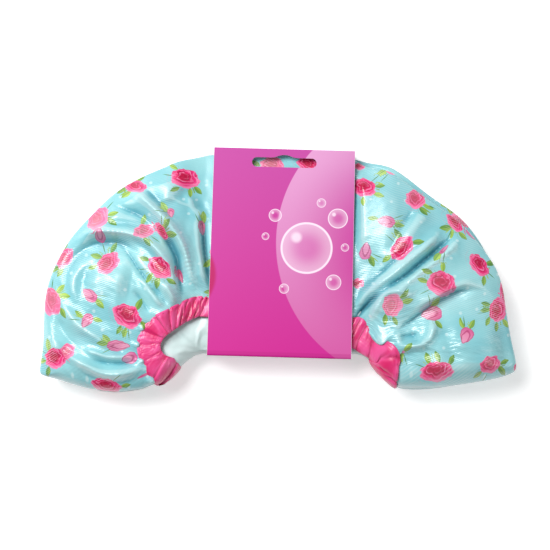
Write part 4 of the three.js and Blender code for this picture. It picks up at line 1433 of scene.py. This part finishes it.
def tape_material():
    """The plain satin of the binding."""
    material, start, shader = new_material(
        "binding_satin", Roughness=0.32, Specular_IOR_Level=0.65, Sheen_Weight=0.2
    )
    cut = start.node("ShaderNodeUVMap", {"uv_map": "cut"})
    tone = cut.noise(160.0, Detail=3.0).step(0.3, 0.7).mix(TAPE, TAPE_PALE)
    # Painted shade in the creases between the pleats.
    feed(shader, "Base Color", paint(tone, start.attribute("crease").axis("X") * 0.9, TAPE_CREASE_SHADE))
    weave = (cut.axis("Y") * (2 * math.pi / TAPE_WEAVE)).sin()
    crumple = cut.noise(210.0, Detail=2.0)
    feed(shader, "Normal", (weave * 0.03 + abs(crumple - 0.5) * -2).bump(0.5, 0.9 * MM))
    return material


lining.data.materials.append(film_material())
binding.data.materials.append(tape_material())
thread, _, _ = new_material("thread", Base_Color=THREAD_PINK, Roughness=0.5)
stitches.data.materials.append(thread)
print("lining, tape and thread have their materials")

# %% [markdown]
# ## The card
# The card is coated and printed magenta, with a paler field bounded by an arc, and plain bubbles. Its print
# lies in the card's own axes, which are turned a little on the cap. It could be an image on a UV map, but
# arcs and circles are shorter as formulas and stay sharp. At the cut edges the white core shows. Shade is
# painted along the left edge, where the card bulges, and in a band at the foot, where it turns away.

# %% Card material
CARD_TOP = colour(194, 70, 160)
CARD_FOOT = colour(205, 34, 145)
CARD_FIELD = colour(226, 162, 208)
CARD_BULGE_SHADE = colour(186, 8, 88)
CARD_SHADE = colour(176, 22, 118)
CARD_LINE = colour(252, 236, 248)
CARD_CORE = colour(244, 240, 242)
FIELD_CENTRE, FIELD_RADIUS = (88 * MM, 8 * MM), 92 * MM
SOFT_EDGE = 0.3 * MM
BULGE_SHADE_Y, BULGE_SHADE_HALF = -17 * MM, 15 * MM  # painted shade along the left edge, where the card bulges
BULGE_SHADE_WIDTH, BULGE_SHADE_END = 4.5 * MM, -38 * MM
TURNED_UNDER = 3.4 * MM  # height of the band of painted shade at the foot, which turns away from the view
BUBBLES = [  # x, y and radius in millimetres of the card
    (16, 3, 17), (36, 23, 6.5), (-5, 24, 4.2), (34, -19, 5), (2, -24, 3.2), (25, 33, 3), (-11, 10, 2.4),
    (41, 4, 2.6),
]


def bubble_paint(tone, x, y, radius):
    """The card's tone with one bubble on it, whose middle is at x = y = 0."""
    away = far(x, y) / (radius * MM)
    shine = far(x + 0.4 * radius * MM, y - 0.4 * radius * MM) / (radius * MM)
    line = abs(away - 0.96).step(0.05 + 0.12 / radius, 0.02)
    inside = away.step(1.0, 0.98)
    tone = paint(tone, inside * away.step(0.2, 1.0) * 0.35, CARD_LINE)
    return paint(tone, (line * 0.8 + inside * shine.step(0.28, 0.1) * 0.7).clamp(), CARD_LINE)


def card_material():
    """The printed face of the card and its cut edges."""
    material, start, shader = new_material("coated_card", Roughness=0.45, Specular_IOR_Level=0.25)
    place = start.node("ShaderNodeTexCoord", None, None, "Object")
    centre = (float(SLEEVE_MIDDLE[0]), float(SLEEVE_MIDDLE[1]), SLEEVE_DEPTH_AT_FOLD / 2)
    own = start.node(
        "ShaderNodeVectorRotate",
        {"rotation_type": "Z_AXIS"},
        {"Vector": place, "Center": centre, "Angle": -SLEEVE_TURN},
    )
    x, y = own.axis("X") - centre[0], own.axis("Y") - centre[1]
    height = (y / CARD_HEIGHT + 0.5).clamp()
    tone = height.mix(CARD_FOOT, CARD_TOP)
    # Painted shade along the left edge, where the card bulges over the gathers under it.
    bulge = x + CARD_WIDTH / 2 - (1 - ((y - BULGE_SHADE_Y) / BULGE_SHADE_HALF) ** 2) * BULGE_SHADE_WIDTH
    bulge_shade = bulge.step(1 * MM, -2 * MM) * x.step(BULGE_SHADE_END, BULGE_SHADE_END - 1 * MM)
    tone = paint(tone, bulge_shade * 0.85, CARD_BULGE_SHADE)
    away = far(x - FIELD_CENTRE[0], y - FIELD_CENTRE[1])
    field = away.step(FIELD_RADIUS + SOFT_EDGE, FIELD_RADIUS - SOFT_EDGE) * (height * 0.8 + 0.25).clamp()
    tone = paint(tone, field * away.step(0.3 * FIELD_RADIUS, FIELD_RADIUS) * 0.9, CARD_FIELD)
    for bx, by, radius in BUBBLES:
        tone = bubble_paint(tone, x - bx * MM, y - by * MM, radius)
    # Painted shade in a band at the foot, where the card turns away from the view.
    foot = y + CARD_HEIGHT / 2
    tone = paint(tone, foot.step(TURNED_UNDER, TURNED_UNDER - 0.4 * MM) * 0.35, CARD_SHADE)
    edge = (CARD_WIDTH / 2 - abs(x)).step(0.15 * MM, 0.05 * MM)
    feed(shader, "Base Color", paint(tone, edge, CARD_CORE))
    return material


print("card print with", len(BUBBLES), "bubbles")

# %% [markdown]
# Only the outside of the card is coated and printed. Its inside is plain board, so the faces of the solid
# are sorted: a face that looks towards the middle of the sleeve gets the second material.

# %% Card faces
CUT_EDGE = 0.7  # a face that looks more sideways than this is a cut edge
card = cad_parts["card_sleeve"]
card.data.materials.clear()
card.data.materials.append(card_material())
board, _, _ = new_material("plain_board", Base_Color=colour(236, 232, 226), Roughness=0.8)
card.data.materials.append(board)
inside = 0
for polygon in card.data.polygons:
    normal, centre = polygon.normal, polygon.center
    to_axis = (SLEEVE_MIDDLE[1] - centre.y, SLEEVE_DEPTH_AT_FOLD / 3 - centre.z)
    faces_in = normal.y * to_axis[0] + normal.z * to_axis[1] > 0 and abs(normal.x) < CUT_EDGE
    polygon.material_index = int(faces_in)
    inside += faces_in
print("card:", inside, "of", len(card.data.polygons), "faces are plain board")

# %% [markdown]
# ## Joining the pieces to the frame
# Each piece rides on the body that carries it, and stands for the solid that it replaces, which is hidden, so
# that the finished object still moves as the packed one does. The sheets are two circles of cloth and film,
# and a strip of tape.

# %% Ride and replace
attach(shell, "cap")
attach(lining, "cap")
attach(binding, "cap")
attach(stitches, "cap")
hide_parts("outer_shell")
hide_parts("waterproof_lining")
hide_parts("rim_binding", "elastic_band")

# %% [markdown]
